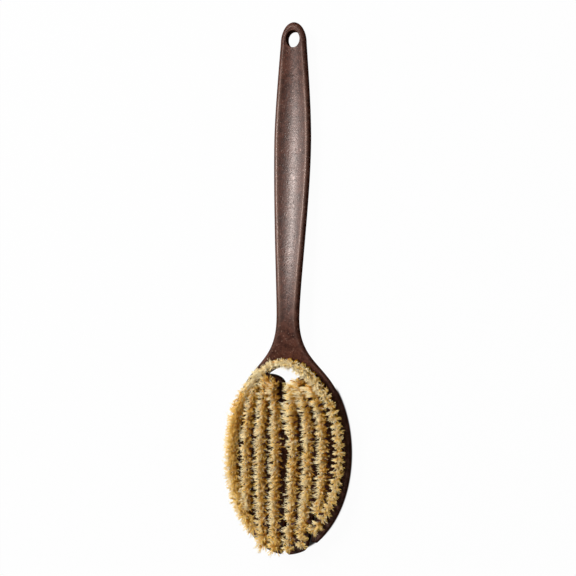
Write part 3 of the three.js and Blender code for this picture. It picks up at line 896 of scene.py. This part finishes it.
@dataclass
class TuftField:
    """The tufts of one finger: fans of fine tapered fibres that splay across their row."""

    rows: TuftRows
    finger: Finger
    side: Side
    seed: int
    locks: int = 37
    lock_fibres: int = 4
    thick: float = 0.15 * MM
    thin: float = 0.105 * MM
    ring_shares: tuple[float, ...] = (0.0, 0.34, 0.62, 0.84, 1.0)
    sides: int = 3

    length: float = 17 * MM
    depth: float = 1.2 * MM
    root_radius: float = 1.4 * MM
    fan_across: float = 5.3 * MM
    fan_along: float = 3.9 * MM
    fan_power: float = 3.6
    pointed: float = 0.7
    dome: float = 0.34
    ragged: float = 0.12

    edge_slack: float = 1.05
    even_reach: float = 0.85
    back_reach: float = 1.2
    even_pointed: float = 0.1
    tooth: float = 0.92
    tooth_reach: float = 0.8
    tooth_power: float = 1.3
    arch_span: float = 0.7
    arch_clear: float = 12 * MM
    arch_fan: float = 0.82
    arch_wide: float = 1.05
    arch_along: float = 1.7

    stray_share: float = 0.28
    stray_reach: float = 1.45
    stray_spread: float = 0.45 * MM
    lock_spread: float = 0.2 * MM
    lock_lean: float = 0.58 * MM
    lock_short: float = 0.3
    hook: float = 1.1 * MM
    hook_power: float = 5.0
    crimp: float = 0.3 * MM
    crimp_turn: float = 7.0
    calm_strays: float = 0.8
    calm_locks: float = 0.6
    calm_tone: float = 0.5

    lean: float = 0.4 * MM
    lean_out: float = 1.8 * MM
    lean_full: float = 7 * MM
    lean_fan: float = 0.42

    plain_tone: float = 0.5
    fibre_tone: float = 0.1
    lock_tone: float = 0.3
    stray_tone: float = 0.9
    # Painted light: the arch, the left edge band and the right edge's teeth are paler.
    painted_light_arch_tone: float = 0.42
    left_tone: float = 0.1
    painted_light_tooth_tone: float = 0.28
    # Painted shade: a warmer tone at the upper left and darker leaning tufts.
    shade_tone: float = 0.34
    painted_shade_lean_tone: float = 0.1
    # Painted light: each fan is paler on its lit left, less so in the smooth edge bands.
    painted_light_side_tone: float = 0.18
    even_painted_light_side: float = 0.7
    uv_margin: float = 0.02

    @property
    def place(self) -> str:
        """Finger and side, as the names of the piece and its node say them."""
        return f"{self.finger.value}_{self.side.name.lower()}"

    def plan(self) -> TuftPlan:
        """Places, directions and character of the tufts.

        Returns:
            The plan. At the head's edge the tufts make a smooth band over the arch and on the left,
            and pointed teeth that lean out on the right. The upper ends of the rows lean round the
            opening and the lower ends lean out, with wider fans. The tone carries painted light and
            shade: paler on the arch, the left edge and the teeth, warmer at the upper left and darker
            where the tufts lean.
        """
        shape = self.rows.shape
        first_row, second_row = self.rows.finger(self.finger)
        tufts = np.concatenate([first_row, second_row])
        first = np.arange(len(tufts)) < len(first_row)
        x, s = self.side.value * tufts[:, 0], tufts[:, 1]
        right = self.side is Side.RIGHT
        edge = shape.edge_depth(x, s) < self.rows.edge_to_row * self.edge_slack
        over = tufts[:, 0] < shape.head_half * self.arch_span
        arch = smooth_step(shape.slit_top, shape.corner_s, s) * over
        even = np.maximum(arch, float(not right)) * edge
        teeth = edge * (1.0 - arch) * right

        clear = smooth_step(0.0, self.arch_clear, tufts[:, 0]) * right
        upper = [UPPER_LEANS[self.side, row].at(s) for row in FINGER_ROWS[self.finger]]
        if self.finger is Finger.OUTER:
            upper[0] *= clear[:, None]
        lean = np.where(first[:, None], *upper) + END_LEANS[self.side, self.finger].at(s)
        leaning = np.linalg.norm(lean, axis=1) / self.lean_full
        arch_fan = blend(self.arch_fan, self.arch_wide, clear)
        fan = self.fan_across * blend(1.0, arch_fan, arch * edge) * (1.0 + self.lean_fan * leaning)
        lean[:, 0] += self.lean_out * edge * (1.0 - arch) * self.side.value

        # Painted light and shade in the tone: paler arch, left edge and teeth, warmer upper left, darker
        # leaning tufts.
        shaded = smooth_step(shape.head_middle, shape.corner_s, s) * (not right) * (1.0 - arch)
        tone = self.plain_tone + self.painted_light_arch_tone * arch * edge - self.shade_tone * shaded
        tone += self.left_tone * edge * (not right) + self.painted_light_tooth_tone * teeth
        tone -= self.painted_shade_lean_tone * leaning * ~edge

        up = shape.face_normal(s)
        along = np.stack([self.side.value * tufts[:, 2], tufts[:, 3], np.zeros_like(s)], 1)
        along -= (along * up).sum(1, keepdims=True) * up
        along /= np.linalg.norm(along, axis=1, keepdims=True)
        foot = np.stack([x, s - shape.length / 2, shape.face_height(s)], 1)
        columns = (a[:, None] for a in (fan, tone, arch, even, teeth))
        return TuftPlan(foot, up, np.cross(along, up), along, lean, *columns)

    def place_locks(self, plan: TuftPlan, random: np.random.Generator) -> LockPlan:
        """Places of the locks in their tufts' fans.

        Args:
            plan: the tufts.
            random: seeded source of the small differences.

        Returns:
            One value for each fibre. A fan is a diamond, crowded in its middle, wide across the row
            and pointed at its sides. In the bands and teeth of the edge it is evenly filled.
        """
        size = (len(plan.foot), self.locks)
        place = (np.arange(self.locks) + random.random(size)) / self.locks
        spread = 2.0 * place - 1.0
        crowded = np.sign(spread) * (1.0 - np.sqrt(1.0 - np.abs(spread)))
        outward = blend(self.even_reach, self.tooth_reach, plan.teeth)
        inward = blend(self.back_reach, self.even_reach, plan.arch)
        filled = spread * np.where(spread * self.side.value > 0.0, outward, inward)
        wide = blend(crowded, filled, plan.calm)
        pointed = blend(self.pointed, self.even_pointed, plan.even)
        pointed = pointed + (self.tooth - self.pointed) * plan.teeth
        taper = np.abs(wide) ** blend(1.0, self.tooth_power, plan.teeth)
        narrow = random.uniform(-1.0, 1.0, size) * (1.0 - pointed * taper)
        narrow *= blend(1.0, self.arch_along, plan.even)
        unruly = self.stray_share * (1.0 - self.calm_strays * plan.calm)
        stray = random.random(size) < unruly * (1.0 - np.sign(wide))
        wide *= np.where(stray, self.stray_reach, 1.0)
        loose = 1.0 - self.calm_locks * plan.calm
        short = 1.0 - self.lock_short * loose * random.random(size) * ~stray
        turn = random.uniform(0.0, 2 * math.pi, size)
        lean = random.normal(0.0, self.lock_lean, size + (2,)) * loose[..., None]
        values = (wide, narrow, short, turn, stray, lean)
        return LockPlan(*(np.repeat(a, self.lock_fibres, 1) for a in values))

    def centre_lines(self, plan: TuftPlan, locks: LockPlan, random: np.random.Generator) -> Array:
        """Middle lines of the fibres.

        Args:
            plan: the tufts.
            locks: the fibres' places in their tufts.
            random: seeded source of the small differences.

        Returns:
            An array of tufts, fibres, rings and (x, y, z). A fibre rises along the face's normal from
            its place in the hole and bends out to its place in the fan, by a power of its height,
            with a little crimp and a curled tip. Fibres at the fan's sides are shorter.
        """
        size = locks.wide.shape
        root = random.normal(0.0, self.root_radius / 2, size + (2,))
        tip = np.stack([plan.fan * locks.wide, self.fan_along * locks.narrow], -1) + plan.lean[:, None]
        spread = np.where(locks.stray, self.stray_spread, self.lock_spread)[..., None]
        tip += random.normal(0.0, 1.0, tip.shape) * spread + locks.lean
        tip += random.normal(0.0, self.lean, (len(tip), 1, 2))
        cropped = self.dome * np.abs(locks.wide) ** 2 + self.ragged * random.random(size) ** 2
        height = self.length * (1.0 - cropped) * locks.short

        t = np.array(self.ring_shares)
        bend = (t**self.fan_power)[:, None]
        offset = root[:, :, None] * (1.0 - bend) + tip[:, :, None] * bend
        phase = random.uniform(0.0, 2 * math.pi, size + (2,))
        offset += self.crimp * np.sin(phase[:, :, None] + self.crimp_turn * t[:, None]) * t[:, None]
        curl = np.stack([np.cos(locks.turn), np.sin(locks.turn)], -1)
        curl *= self.hook * (1.0 - self.calm_locks * plan.calm)[..., None]
        offset += curl[:, :, None] * (t**self.hook_power)[:, None]
        rise = t * (height + self.depth)[..., None] - self.depth
        foot, up, across, along = (
            a[:, None, None] for a in (plan.foot, plan.up, plan.across, plan.along)
        )
        return foot + up * rise[..., None] + offset[..., :1] * across + offset[..., 1:] * along

    def tones(self, plan: TuftPlan, locks: LockPlan, random: np.random.Generator) -> Array:
        """Tone of each fibre, from 0 for warm to 1 for pale.

        Args:
            plan: the tufts.
            locks: the fibres' places in their tufts.
            random: seeded source of the small differences.

        Returns:
            The tuft's tone, paler on the fan's left as painted light, plus the lock's own and the fibre's
            own.
        """
        size = (len(plan.foot), self.locks)
        lock_tone = random.normal(0.0, self.lock_tone, size) * (1.0 - self.calm_tone * plan.calm)
        # Painted light: paler on the fan's left side.
        painted_light_side_tone = self.painted_light_side_tone * (1.0 - self.even_painted_light_side * plan.even)
        tone = plan.tone - painted_light_side_tone * np.clip(locks.wide, -1.0, 1.0)
        tone = random.normal(tone, self.fibre_tone) + np.repeat(lock_tone, self.lock_fibres, 1)
        return np.clip(np.where(locks.stray, self.stray_tone, tone), self.uv_margin, 1.0 - self.uv_margin)

    def build(self) -> bpy.types.Object:
        """Mesh of the finger's fibres.

        Returns:
            The piece: each fibre is a tapered tube of a few sides round its middle line, with its own
            tone and the share of its length in the UV map.
        """
        random = np.random.default_rng(self.seed)
        plan = self.plan()
        locks = self.place_locks(plan, random)
        lines = self.centre_lines(plan, locks, random)
        tufts, fibres, rings, _ = lines.shape
        turn = random.uniform(0.0, 2 * math.pi, (tufts, fibres, 1, 1))
        angle = turn + np.arange(self.sides) * 2 * math.pi / self.sides
        radius = blend(self.thick, self.thin, np.array(self.ring_shares))[:, None]
        ring = np.stack([radius * np.cos(angle), radius * np.sin(angle), 0.0 * radius * angle], -1)
        vertices = (lines[:, :, :, None] + ring).reshape(-1, 3)

        first = np.arange(tufts * fibres)[:, None, None] * rings * self.sides
        low = first + np.arange(rings - 1)[:, None] * self.sides
        high = low + self.sides
        k = np.arange(self.sides)
        after = (k + 1) % self.sides
        quads = np.stack([low + k, low + after, high + after, high + k], -1).reshape(-1, 4)
        caps = first[:, 0] + (rings - 1) * self.sides + k
        faces = np.concatenate([quads[:, [0, 1, 2]], quads[:, [0, 2, 3]], caps])
        piece = new_object(f"tufts_{self.place}", vertices, faces)

        tone = self.tones(plan, locks, random)[:, :, None, None]
        share = blend(self.uv_margin, 1.0 - self.uv_margin, np.array(self.ring_shares))[:, None]
        uv = np.stack(np.broadcast_arrays(tone, share + 0.0 * angle), -1).reshape(-1, 2)
        layer = piece.data.uv_layers.new(name="OFBake")
        layer.uv.foreach_set("vector", uv[faces.ravel()].astype(np.float32).ravel())
        return piece

    def dress(self, finish: bpy.types.Material) -> None:
        """Build the tufts and give them their finish and node."""
        seat(self.build(), f"bristles_{self.place}", finish)


class NodeSheet:
    """Thin helper that adds nodes to a node tree and links them."""

    def __init__(self, tree: bpy.types.NodeTree) -> None:
        """Start on an empty tree."""
        self.tree = tree
        tree.nodes.clear()

    @classmethod
    def of_material(cls, name: str) -> tuple[bpy.types.Material, "NodeSheet"]:
        """New material with the sheet of its nodes.

        Args:
            name: the material's name.

        Returns:
            The material and its empty sheet.
        """
        material = bpy.data.materials.new(name)
        material.use_nodes = True
        return material, cls(material.node_tree)

    def add(self, kind: str, settings: dict | None = None, **inputs: object) -> bpy.types.Node:
        """Add a node.

        Args:
            kind: the node's Blender type.
            settings: properties of the node.
            **inputs: values or sockets for its inputs, by name with underscores for spaces.

        Returns:
            The node.
        """
        node = self.tree.nodes.new(kind)
        for key, value in (settings or {}).items():
            setattr(node, key, value)
        for key, value in inputs.items():
            self.feed(node.inputs[key.replace("_", " ")], value)
        return node

    def feed(self, socket: Socket, value: object) -> None:
        """Link a socket to an output, or set its value.

        Args:
            socket: the input.
            value: an output's socket, or a plain value.
        """
        if isinstance(value, bpy.types.NodeSocket):
            self.tree.links.new(value, socket)
        else:
            socket.default_value = value

    def feed_all(self, node: bpy.types.Node, values: dict[int, object]) -> bpy.types.Node:
        """Feed a node's inputs by number.

        Args:
            node: the node.
            values: values or sockets by number.

        Returns:
            The node.
        """
        for number, value in values.items():
            self.feed(node.inputs[number], value)
        return node

    def math(self, operation: str, a: object, b: object = 0.0, clamp: bool = False) -> Socket:
        """Result of a math node on two values or sockets."""
        node = self.add("ShaderNodeMath", {"operation": operation, "use_clamp": clamp})
        return self.feed_all(node, {0: a, 1: b}).outputs[0]

    def span(self, value: object, given: Pair, wanted: tuple[object, object] = (0.0, 1.0)) -> Socket:
        """Value carried smoothly from one range to another, and held at its ends."""
        node = self.add("ShaderNodeMapRange", {"interpolation_type": "SMOOTHSTEP"})
        return self.feed_all(node, dict(enumerate((value, *given, *wanted)))).outputs[0]

    def mix(self, share: object, a: object, b: object, kind: str = "MIX") -> Socket:
        """Colour mixed from two colours by a share."""
        node = self.add("ShaderNodeMix", {"data_type": "RGBA", "blend_type": kind})
        return self.feed_all(node, {0: share, 6: a, 7: b}).outputs[2]

    def ramp(self, value: object, stops: list[tuple[float, Colour]]) -> Socket:
        """Colour of a ramp.

        Args:
            value: place on the ramp.
            stops: places and colours of its stops.

        Returns:
            The colour's socket.
        """
        node = self.add("ShaderNodeValToRGB")
        elements = node.color_ramp.elements
        elements.remove(elements[1])
        elements[0].position, elements[0].color = stops[0][0], (*stops[0][1], 1.0)
        for place, colour in stops[1:]:
            elements.new(place).color = (*colour, 1.0)
        self.feed(node.inputs[0], value)
        return node.outputs[0]

    def attribute(self, name: str) -> Socket:
        """Value of a piece's own attribute."""
        return self.add("ShaderNodeAttribute", {"attribute_name": name}).outputs["Fac"]


def node_group(
    name: str, inputs: dict[str, float], output: str
) -> tuple[NodeSheet, bpy.types.bpy_prop_collection, Socket]:
    """New shader node group with named sockets.

    Args:
        name: the group's name.
        inputs: starting values of its number inputs by name, beside its Vector.
        output: name of its one number output.

    Returns:
        The group's node sheet, its input sockets by name and its output socket.
    """
    tree = bpy.data.node_groups.new(name, "ShaderNodeTree")
    tree.interface.new_socket("Vector", in_out="INPUT", socket_type="NodeSocketVector")
    for key, value in inputs.items():
        socket = tree.interface.new_socket(key, in_out="INPUT", socket_type="NodeSocketFloat")
        socket.default_value = value
    tree.interface.new_socket(output, in_out="OUTPUT", socket_type="NodeSocketFloat")
    sheet = NodeSheet(tree)
    given, made = sheet.add("NodeGroupInput"), sheet.add("NodeGroupOutput")
    return sheet, given.outputs, made.inputs[output]


def grain_group() -> bpy.types.NodeTree:
    """Group of an uneven tone: coarse clouds and fine grain.

    Returns:
        The group. Its Tone is the clouds and the grain, weighted, about a half.
    """
    scales = {"Cloud Scale": 40.0, "Grain Scale": 900.0, "Grain Share": 0.5}
    sheet, given, tone = node_group("uneven_tone", scales, "Tone")
    cloud, grain = (
        sheet.add("ShaderNodeTexNoise", Vector=given["Vector"], Scale=given[scale], Detail=detail)
        for scale, detail in (("Cloud Scale", 3.0), ("Grain Scale", 2.0))
    )
    mixed = sheet.add("ShaderNodeMix", {"data_type": "FLOAT"})
    sheet.feed_all(mixed, {0: given["Grain Share"], 2: cloud.outputs[0], 3: grain.outputs[0]})
    sheet.feed(tone, mixed.outputs[0])
    return sheet.tree


def fleck_group() -> bpy.types.NodeTree:
    """Group of scattered flecks.

    Returns:
        The group. Its Mask is 1 inside the small spots round the middles of those cells of a cell
        texture whose own random value is under the wanted share.
    """
    sizes = {"Scale": 500.0, "Size": 0.25, "Share": 0.3}
    soft_edge = (0.0, 0.6)
    sheet, given, mask = node_group("scattered_flecks", sizes, "Mask")
    cells = sheet.add("ShaderNodeTexVoronoi", Vector=given["Vector"], Scale=given["Scale"])
    chosen = sheet.add("ShaderNodeSeparateColor", Color=cells.outputs["Color"])
    out = sheet.math("DIVIDE", cells.outputs["Distance"], given["Size"])
    near = sheet.math("SUBTRACT", 1.0, out, True)
    picked = sheet.math("LESS_THAN", chosen.outputs[0], given["Share"])
    sheet.feed(mask, sheet.math("MULTIPLY", sheet.span(near, soft_edge), picked))
    return sheet.tree


@dataclass(frozen=True)
class Grain:
    """Uneven tone: clouds and grains a metre, and the share of the grain."""

    cloud: float
    grain: float
    share: float


@dataclass(frozen=True)
class Speckle:
    """Scattered flecks: cells a metre, size in a cell, share of the cells, and cover of the colour."""

    scale: float
    size: float
    share: float
    cover: float


@dataclass(frozen=True)
class SharedEffects:
    """Node groups that more than one finish uses."""

    tone: bpy.types.NodeTree = field(default_factory=grain_group)
    flecks: bpy.types.NodeTree = field(default_factory=fleck_group)

    def uneven(self, sheet: NodeSheet, place: Socket, grain: Grain) -> Socket:
        """Uneven tone at a place."""
        return sheet.add("ShaderNodeGroup", {"node_tree": self.tone}, Vector=place, Cloud_Scale=grain.cloud,
                         Grain_Scale=grain.grain, Grain_Share=grain.share).outputs["Tone"]

    def mask(self, sheet: NodeSheet, place: Socket, speckle: Speckle) -> Socket:
        """Mask of the flecks at a place."""
        return sheet.add("ShaderNodeGroup", {"node_tree": self.flecks}, Vector=place, Scale=speckle.scale,
                         Size=speckle.size, Share=speckle.share).outputs["Mask"]


@dataclass(frozen=True)
class CompositeFinish:
    """Brown wood-fibre composite: speckled and satin, polished and hammered on the grip."""

    effects: SharedEffects
    deep: Colour = (0.030, 0.0098, 0.0061)
    light: Colour = (0.083, 0.0310, 0.0205)
    # Pale fleck colour, also laid on the rim's crest as rubbed wear and a painted highlight.
    fleck_and_crest_highlight: Colour = (0.36, 0.23, 0.18)
    dark_spot: Colour = (0.012, 0.005, 0.004)
    gloss: Colour = (1.0, 0.88, 0.83)
    index: float = 1.26
    polished_index: float = 1.72
    side_index: float = 1.0
    plain_index: float = 1.45
    skin: Grain = Grain(60.0, 750.0, 0.62)
    hammered: Grain = Grain(240.0, 1100.0, 0.3)
    spots: Speckle = Speckle(780.0, 0.40, 0.24, 0.32)
    flecks: Speckle = Speckle(420.0, 0.2, 0.07, 0.75)
    pits: Speckle = Speckle(640.0, 0.38, 0.22, 0.55)
    slant: float = 0.35
    stretch: float = 0.38
    blotches: Pair = (0.4, 0.6)
    # The pale crest line is rubbed wear and a painted highlight; its cover rises over this range as the
    # polish grows.
    wear_and_highlight_polish: float = 0.6
    crest_wear_and_highlight: Pair = (0.08, 0.4)
    crest_tone: float = 0.08
    tone_range: Pair = (0.3, 0.7)
    roughness: Pair = (0.42, 0.32)
    spot_height: float = 0.25
    pit_depth: float = 0.3
    hammer_from: float = 0.2
    hammer: Pair = (0.2, 0.8)
    bump: Pair = (0.4, 0.42)
    bump_height: float = 0.35 * MM

    def material(self) -> bpy.types.Material:
        """Material of the finish.

        Returns:
            The material. Blotches from deep to light brown carry dark pits, pale spots and flecks and a
            pale crest line, which is rubbed wear and a painted highlight. The pits and the hammered skin
            are a bump, and the grip has the most gloss.
        """
        material, sheet = NodeSheet.of_material("speckled_composite")
        whole = (0.0, 1.0)
        place = sheet.add("ShaderNodeTexCoord").outputs["Object"]
        fibres = sheet.add("ShaderNodeMapping", Vector=place, Rotation=(0.0, 0.0, self.slant),
                           Scale=(1.0, self.stretch, 1.0)).outputs[0]
        tone = self.effects.uneven(sheet, place, self.skin)
        hammered = self.effects.uneven(sheet, place, self.hammered)
        spots = self.effects.mask(sheet, place, self.spots)
        flecks = self.effects.mask(sheet, fibres, self.flecks)
        pits = self.effects.mask(sheet, fibres, self.pits)
        crest, polish, side = (sheet.attribute(name) for name in ("crest", "polish", "side"))

        blotch = sheet.math("MULTIPLY", sheet.math("ADD", tone, hammered), 0.5)
        colour = sheet.mix(sheet.span(blotch, self.blotches), (*self.deep, 1.0), (*self.light, 1.0))
        # The last layer is the pale crest line: rubbed wear and a painted highlight, stronger on the
        # polished grip.
        layers = ((pits, self.pits.cover, self.dark_spot), (spots, self.spots.cover, self.fleck_and_crest_highlight),
                  (flecks, self.flecks.cover, self.fleck_and_crest_highlight),
                  (crest, sheet.span(polish, (0.0, self.wear_and_highlight_polish), self.crest_wear_and_highlight), self.fleck_and_crest_highlight))
        for mask, cover, layer in layers:
            colour = sheet.mix(sheet.math("MULTIPLY", mask, cover), colour, (*layer, 1.0))

        smooth = sheet.math("ADD", tone, sheet.math("MULTIPLY", crest, self.crest_tone))
        rough = sheet.span(smooth, self.tone_range, self.roughness)
        hammer = sheet.span(polish, (self.hammer_from, 1.0), self.hammer)
        pebbles = sheet.math("ADD", tone, sheet.math("MULTIPLY", spots, self.spot_height))
        pebbles = sheet.math("ADD", pebbles, sheet.math("MULTIPLY", hammered, hammer))
        pebbles = sheet.math("SUBTRACT", pebbles, sheet.math("MULTIPLY", pits, self.pit_depth))
        bump = sheet.add("ShaderNodeBump", Strength=sheet.span(polish, whole, self.bump),
                         Distance=self.bump_height, Height=pebbles)
        index = sheet.span(polish, whole, (self.index, self.polished_index))
        shader = sheet.add("ShaderNodeBsdfPrincipled", Base_Color=colour, Roughness=rough,
                           Normal=bump.outputs[0], Specular_Tint=(*self.gloss, 1.0),
                           IOR=sheet.span(side, whole, (index, self.side_index)))
        shader.inputs["IOR"].default_value = self.plain_index
        sheet.add("ShaderNodeOutputMaterial", Surface=shader.outputs[0])
        return material


@dataclass(frozen=True)
class BristleFinish:
    """Pale plant bristle: straw tips, painted shade to amber at the root, each fibre in its own tone."""

    effects: SharedEffects
    # Painted shade: from tip to root the fibres darken to amber, as deep in the tuft.
    root: Colour = (0.28, 0.10, 0.006)
    middle: Colour = (1.0, 0.56, 0.065)
    tip: Colour = (1.0, 0.70, 0.21)
    warm: Colour = (0.62, 0.28, 0.026)
    pale: Colour = (1.0, 0.89, 0.61)
    stops: Triple = (0.1, 0.47, 0.85)
    upper: Pair = (0.45, 0.85)
    pale_tones: Pair = (0.66, 0.95)
    pale_cover: float = 0.9
    warm_tones: Pair = (0.42, 0.1)
    warm_cover: float = 0.85
    grain: Grain = Grain(9.0, 60.0, 0.4)
    grain_range: Pair = (0.3, 0.7)
    lift: Pair = (0.82, 1.12)
    rough_tones: Pair = (0.1, 0.9)
    roughness: Pair = (0.8, 0.6)

    def material(self) -> bpy.types.Material:
        """Material of the finish.

        Returns:
            The material. Its colour follows the share of the fibre's length, darkened towards the root
            as painted shade, and turns pale or warm with the fibre's tone towards the tip. Both come from
            the UV map.
        """
        material, sheet = NodeSheet.of_material("plant_bristle")
        place = sheet.add("ShaderNodeUVMap", {"uv_map": "OFBake"}).outputs[0]
        parts = sheet.add("ShaderNodeSeparateXYZ", Vector=place)
        tone, share = parts.outputs[0], parts.outputs[1]
        uneven = self.effects.uneven(sheet, place, self.grain)
        # Painted shade: the ramp darkens the fibre towards its root.
        colour = sheet.ramp(share, list(zip(self.stops, (self.root, self.middle, self.tip))))
        upper = sheet.span(share, self.upper)
        for layer, tones, cover in ((self.pale, self.pale_tones, self.pale_cover),
                                    (self.warm, self.warm_tones, self.warm_cover)):
            chosen = sheet.math("MULTIPLY", upper, sheet.span(tone, tones, (0.0, cover)))
            colour = sheet.mix(chosen, colour, (*layer, 1.0))
        lift = sheet.span(uneven, self.grain_range, self.lift)
        grey = sheet.add("ShaderNodeCombineColor", Red=lift, Green=lift, Blue=lift).outputs[0]
        colour = sheet.mix(1.0, colour, grey, "MULTIPLY")
        rough = sheet.span(tone, self.rough_tones, self.roughness)
        skin = sheet.add("ShaderNodeBsdfPrincipled", Base_Color=colour, Roughness=rough,
                         Specular_IOR_Level=0.0)
        sheet.add("ShaderNodeOutputMaterial", Surface=skin.outputs[0])
        return material


@dataclass(frozen=True)
class Lamp:
    """Soft rectangular lamp that shines at the brush, mirrored in its gloss or not."""

    name: str
    towards: Triple
    size: Pair
    power: float
    mirrored: bool = True

    def build(self, distance: float) -> None:
        """Hang the lamp.

        Args:
            distance: distance from the brush.
        """
        light = bpy.data.lights.new(self.name, "AREA")
        light.shape = "RECTANGLE"
        light.size, light.size_y = self.size
        light.energy = self.power
        lamp = bpy.data.objects.new(self.name, light)
        way = Vector(self.towards).normalized()
        lamp.location = way * distance
        lamp.rotation_euler = way.to_track_quat("Z", "Y").to_euler()
        lamp.visible_glossy = self.mirrored
        bpy.context.scene.collection.objects.link(lamp)


@dataclass
class Studio:
    """White floor and surroundings, lit from the upper left.

    The key lamp gives shape and isn't mirrored, the wide soft lamp gives a weak sheen, and the small
    top lamp makes the narrow highlight along the handle.
    """

    shape: BrushShape
    floor_size: float = 24.0
    paper: float = 0.55
    shadow: float = 0.03
    head_edge: Pair = (1.0, 0.96)
    fade: float = 5 * MM
    ceiling: float = 0.16
    wall_top: Pair = (0.12, 0.5)
    bounce: float = 0.22
    lamp_distance: float = 2.0
    lamps: tuple[Lamp, ...] = (
        Lamp("key", (-0.48, 0.32, 0.82), (0.8, 0.6), 23.0, False),
        Lamp("soft", (-0.48, 0.32, 0.82), (2.2, 1.5), 20.5),
        Lamp("top", (-0.36, 0.30, 0.88), (0.28, 0.36), 21.0),
    )

    @staticmethod
    def seen(sheet: NodeSheet) -> Socket:
        """Mask of the rays that see plain white.

        Args:
            sheet: nodes of the material or the world.

        Returns:
            1 for rays from the camera, a gloss or clear glass.
        """
        path = sheet.add("ShaderNodeLightPath")
        shown = sheet.math("MAXIMUM", path.outputs["Is Camera Ray"], path.outputs["Is Glossy Ray"])
        return sheet.math("MAXIMUM", shown, path.outputs["Is Transmission Ray"])

    def open_floor(self, sheet: NodeSheet) -> Socket:
        """Share of plain white on the floor.

        Args:
            sheet: nodes of the floor's material.

        Returns:
            Nearly 1, but 0 inside the head's ellipse as far as the opening, because the slits show the
            floor in the shade of the fingers.
        """
        shape = self.shape
        place = sheet.add("ShaderNodeTexCoord").outputs["Object"]
        parts = sheet.add("ShaderNodeSeparateXYZ", Vector=place)
        side = sheet.math("DIVIDE", parts.outputs[0], shape.head_half)
        along = sheet.math("ADD", parts.outputs[1], shape.length / 2 - shape.head_middle)
        rise = sheet.math("DIVIDE", along, shape.head_middle)
        ring = sheet.math("ADD", sheet.math("POWER", side, 2.0), sheet.math("POWER", rise, 2.0))
        mouth = shape.funnel_end - shape.head_middle
        below = sheet.span(along, (mouth, mouth - self.fade))
        under = sheet.math("MULTIPLY", sheet.span(ring, self.head_edge), below)
        return sheet.math("MULTIPLY", sheet.math("SUBTRACT", 1.0, under), 1.0 - self.shadow)

    def floor(self) -> None:
        """Lay a wide white floor that keeps a soft shadow."""
        half = self.floor_size / 2
        corners = np.array([(-half, -half, 0.0), (half, -half, 0.0), (half, half, 0.0), (-half, half, 0.0)])
        floor = new_object("floor", corners, np.array([[0, 1, 2, 3]]))
        material, sheet = NodeSheet.of_material("white_floor")
        paper = sheet.add("ShaderNodeBsdfDiffuse", Color=(*[self.paper] * 3, 1.0))
        white = sheet.add("ShaderNodeEmission", Color=(1.0, 1.0, 1.0, 1.0), Strength=1.0)
        share = sheet.math("MULTIPLY", self.seen(sheet), self.open_floor(sheet))
        both = sheet.add("ShaderNodeMixShader", Fac=share)
        sheet.feed_all(both, {1: paper.outputs[0], 2: white.outputs[0]})
        sheet.add("ShaderNodeOutputMaterial", Surface=both.outputs[0])
        floor.data.materials.append(material)

    def world(self) -> None:
        """White walls under a dark ceiling, by the height of the direction, that give little light."""
        world = bpy.data.worlds.new("white_surroundings")
        bpy.context.scene.world = world
        world.use_nodes = True
        sheet = NodeSheet(world.node_tree)
        place = sheet.add("ShaderNodeTexCoord").outputs["Generated"]
        way = sheet.add("ShaderNodeSeparateXYZ", Vector=place)
        walls = sheet.span(way.outputs[2], self.wall_top, (1.0, self.ceiling))
        level = sheet.span(self.seen(sheet), (0.0, 1.0), (self.bounce, 1.0))
        strength = sheet.math("MULTIPLY", walls, level)
        back = sheet.add("ShaderNodeBackground", Color=(1.0, 1.0, 1.0, 1.0), Strength=strength)
        sheet.add("ShaderNodeOutputWorld", Surface=back.outputs[0])

    def build(self) -> None:
        """Floor, surroundings and light."""
        self.floor()
        self.world()
        for lamp in self.lamps:
            lamp.build(self.lamp_distance)


@dataclass
class PhotoCamera:
    """Camera of the photograph: above the brush, turned to its right side."""

    turn: float = math.radians(15.5)
    rise: float = math.radians(-0.09)
    roll: float = math.radians(0.89)
    distance: float = 1.0
    aim_height: float = 10 * MM
    pixels: int = 576
    pixels_per_metre: float = 1329.0
    centre: Pair = (289.99, 288.16)
    sensor: float = 36.0

    def build(self) -> None:
        """Set the scene's camera, whose axes follow from its turn, rise and roll about the brush."""
        back = Vector((math.sin(self.turn) * math.cos(self.rise), math.sin(self.rise),
                       math.cos(self.turn) * math.cos(self.rise)))
        level = Vector((0.0, 1.0, 0.0)).cross(back).normalized()
        upright = back.cross(level)
        right = level * math.cos(self.roll) + upright * math.sin(self.roll)
        up = upright * math.cos(self.roll) - level * math.sin(self.roll)
        data = bpy.data.cameras.new("camera")
        data.sensor_width = self.sensor
        data.lens = self.sensor * self.distance * self.pixels_per_metre / self.pixels
        data.shift_x = (self.pixels / 2 - self.centre[0]) / self.pixels
        data.shift_y = (self.centre[1] - self.pixels / 2) / self.pixels
        camera = bpy.data.objects.new("camera", data)
        place = Vector((0.0, 0.0, self.aim_height)) + back * self.distance
        axes = Matrix((right, up, back)).transposed().to_4x4()
        camera.matrix_world = Matrix.Translation(place) @ axes
        bpy.context.scene.collection.objects.link(camera)
        bpy.context.scene.camera = camera


def main() -> None:
    """Build the brush from its CAD body's sizes, its finishes and the studio."""
    logging.basicConfig(level=logging.INFO, format="%(name)s: %(message)s")
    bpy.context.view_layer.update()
    low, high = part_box("brush_body")
    shape = BrushShape(length=2 * high.y, head_width=high.x - low.x)

    effects = SharedEffects()
    composite = CompositeFinish(effects).material()
    bristle = BristleFinish(effects).material()
    BrushBody(shape).dress(composite)
    rows = TuftRows(shape)
    first_seed = 11
    fingers = [(finger, side) for finger in Finger for side in Side]
    for seed, (finger, side) in enumerate(fingers, first_seed):
        TuftField(rows, finger, side, seed).dress(bristle)

    Studio(shape).build()
    PhotoCamera().build()
    bpy.context.scene.view_settings.view_transform = "Standard"


if __name__ == "__main__":
    main()
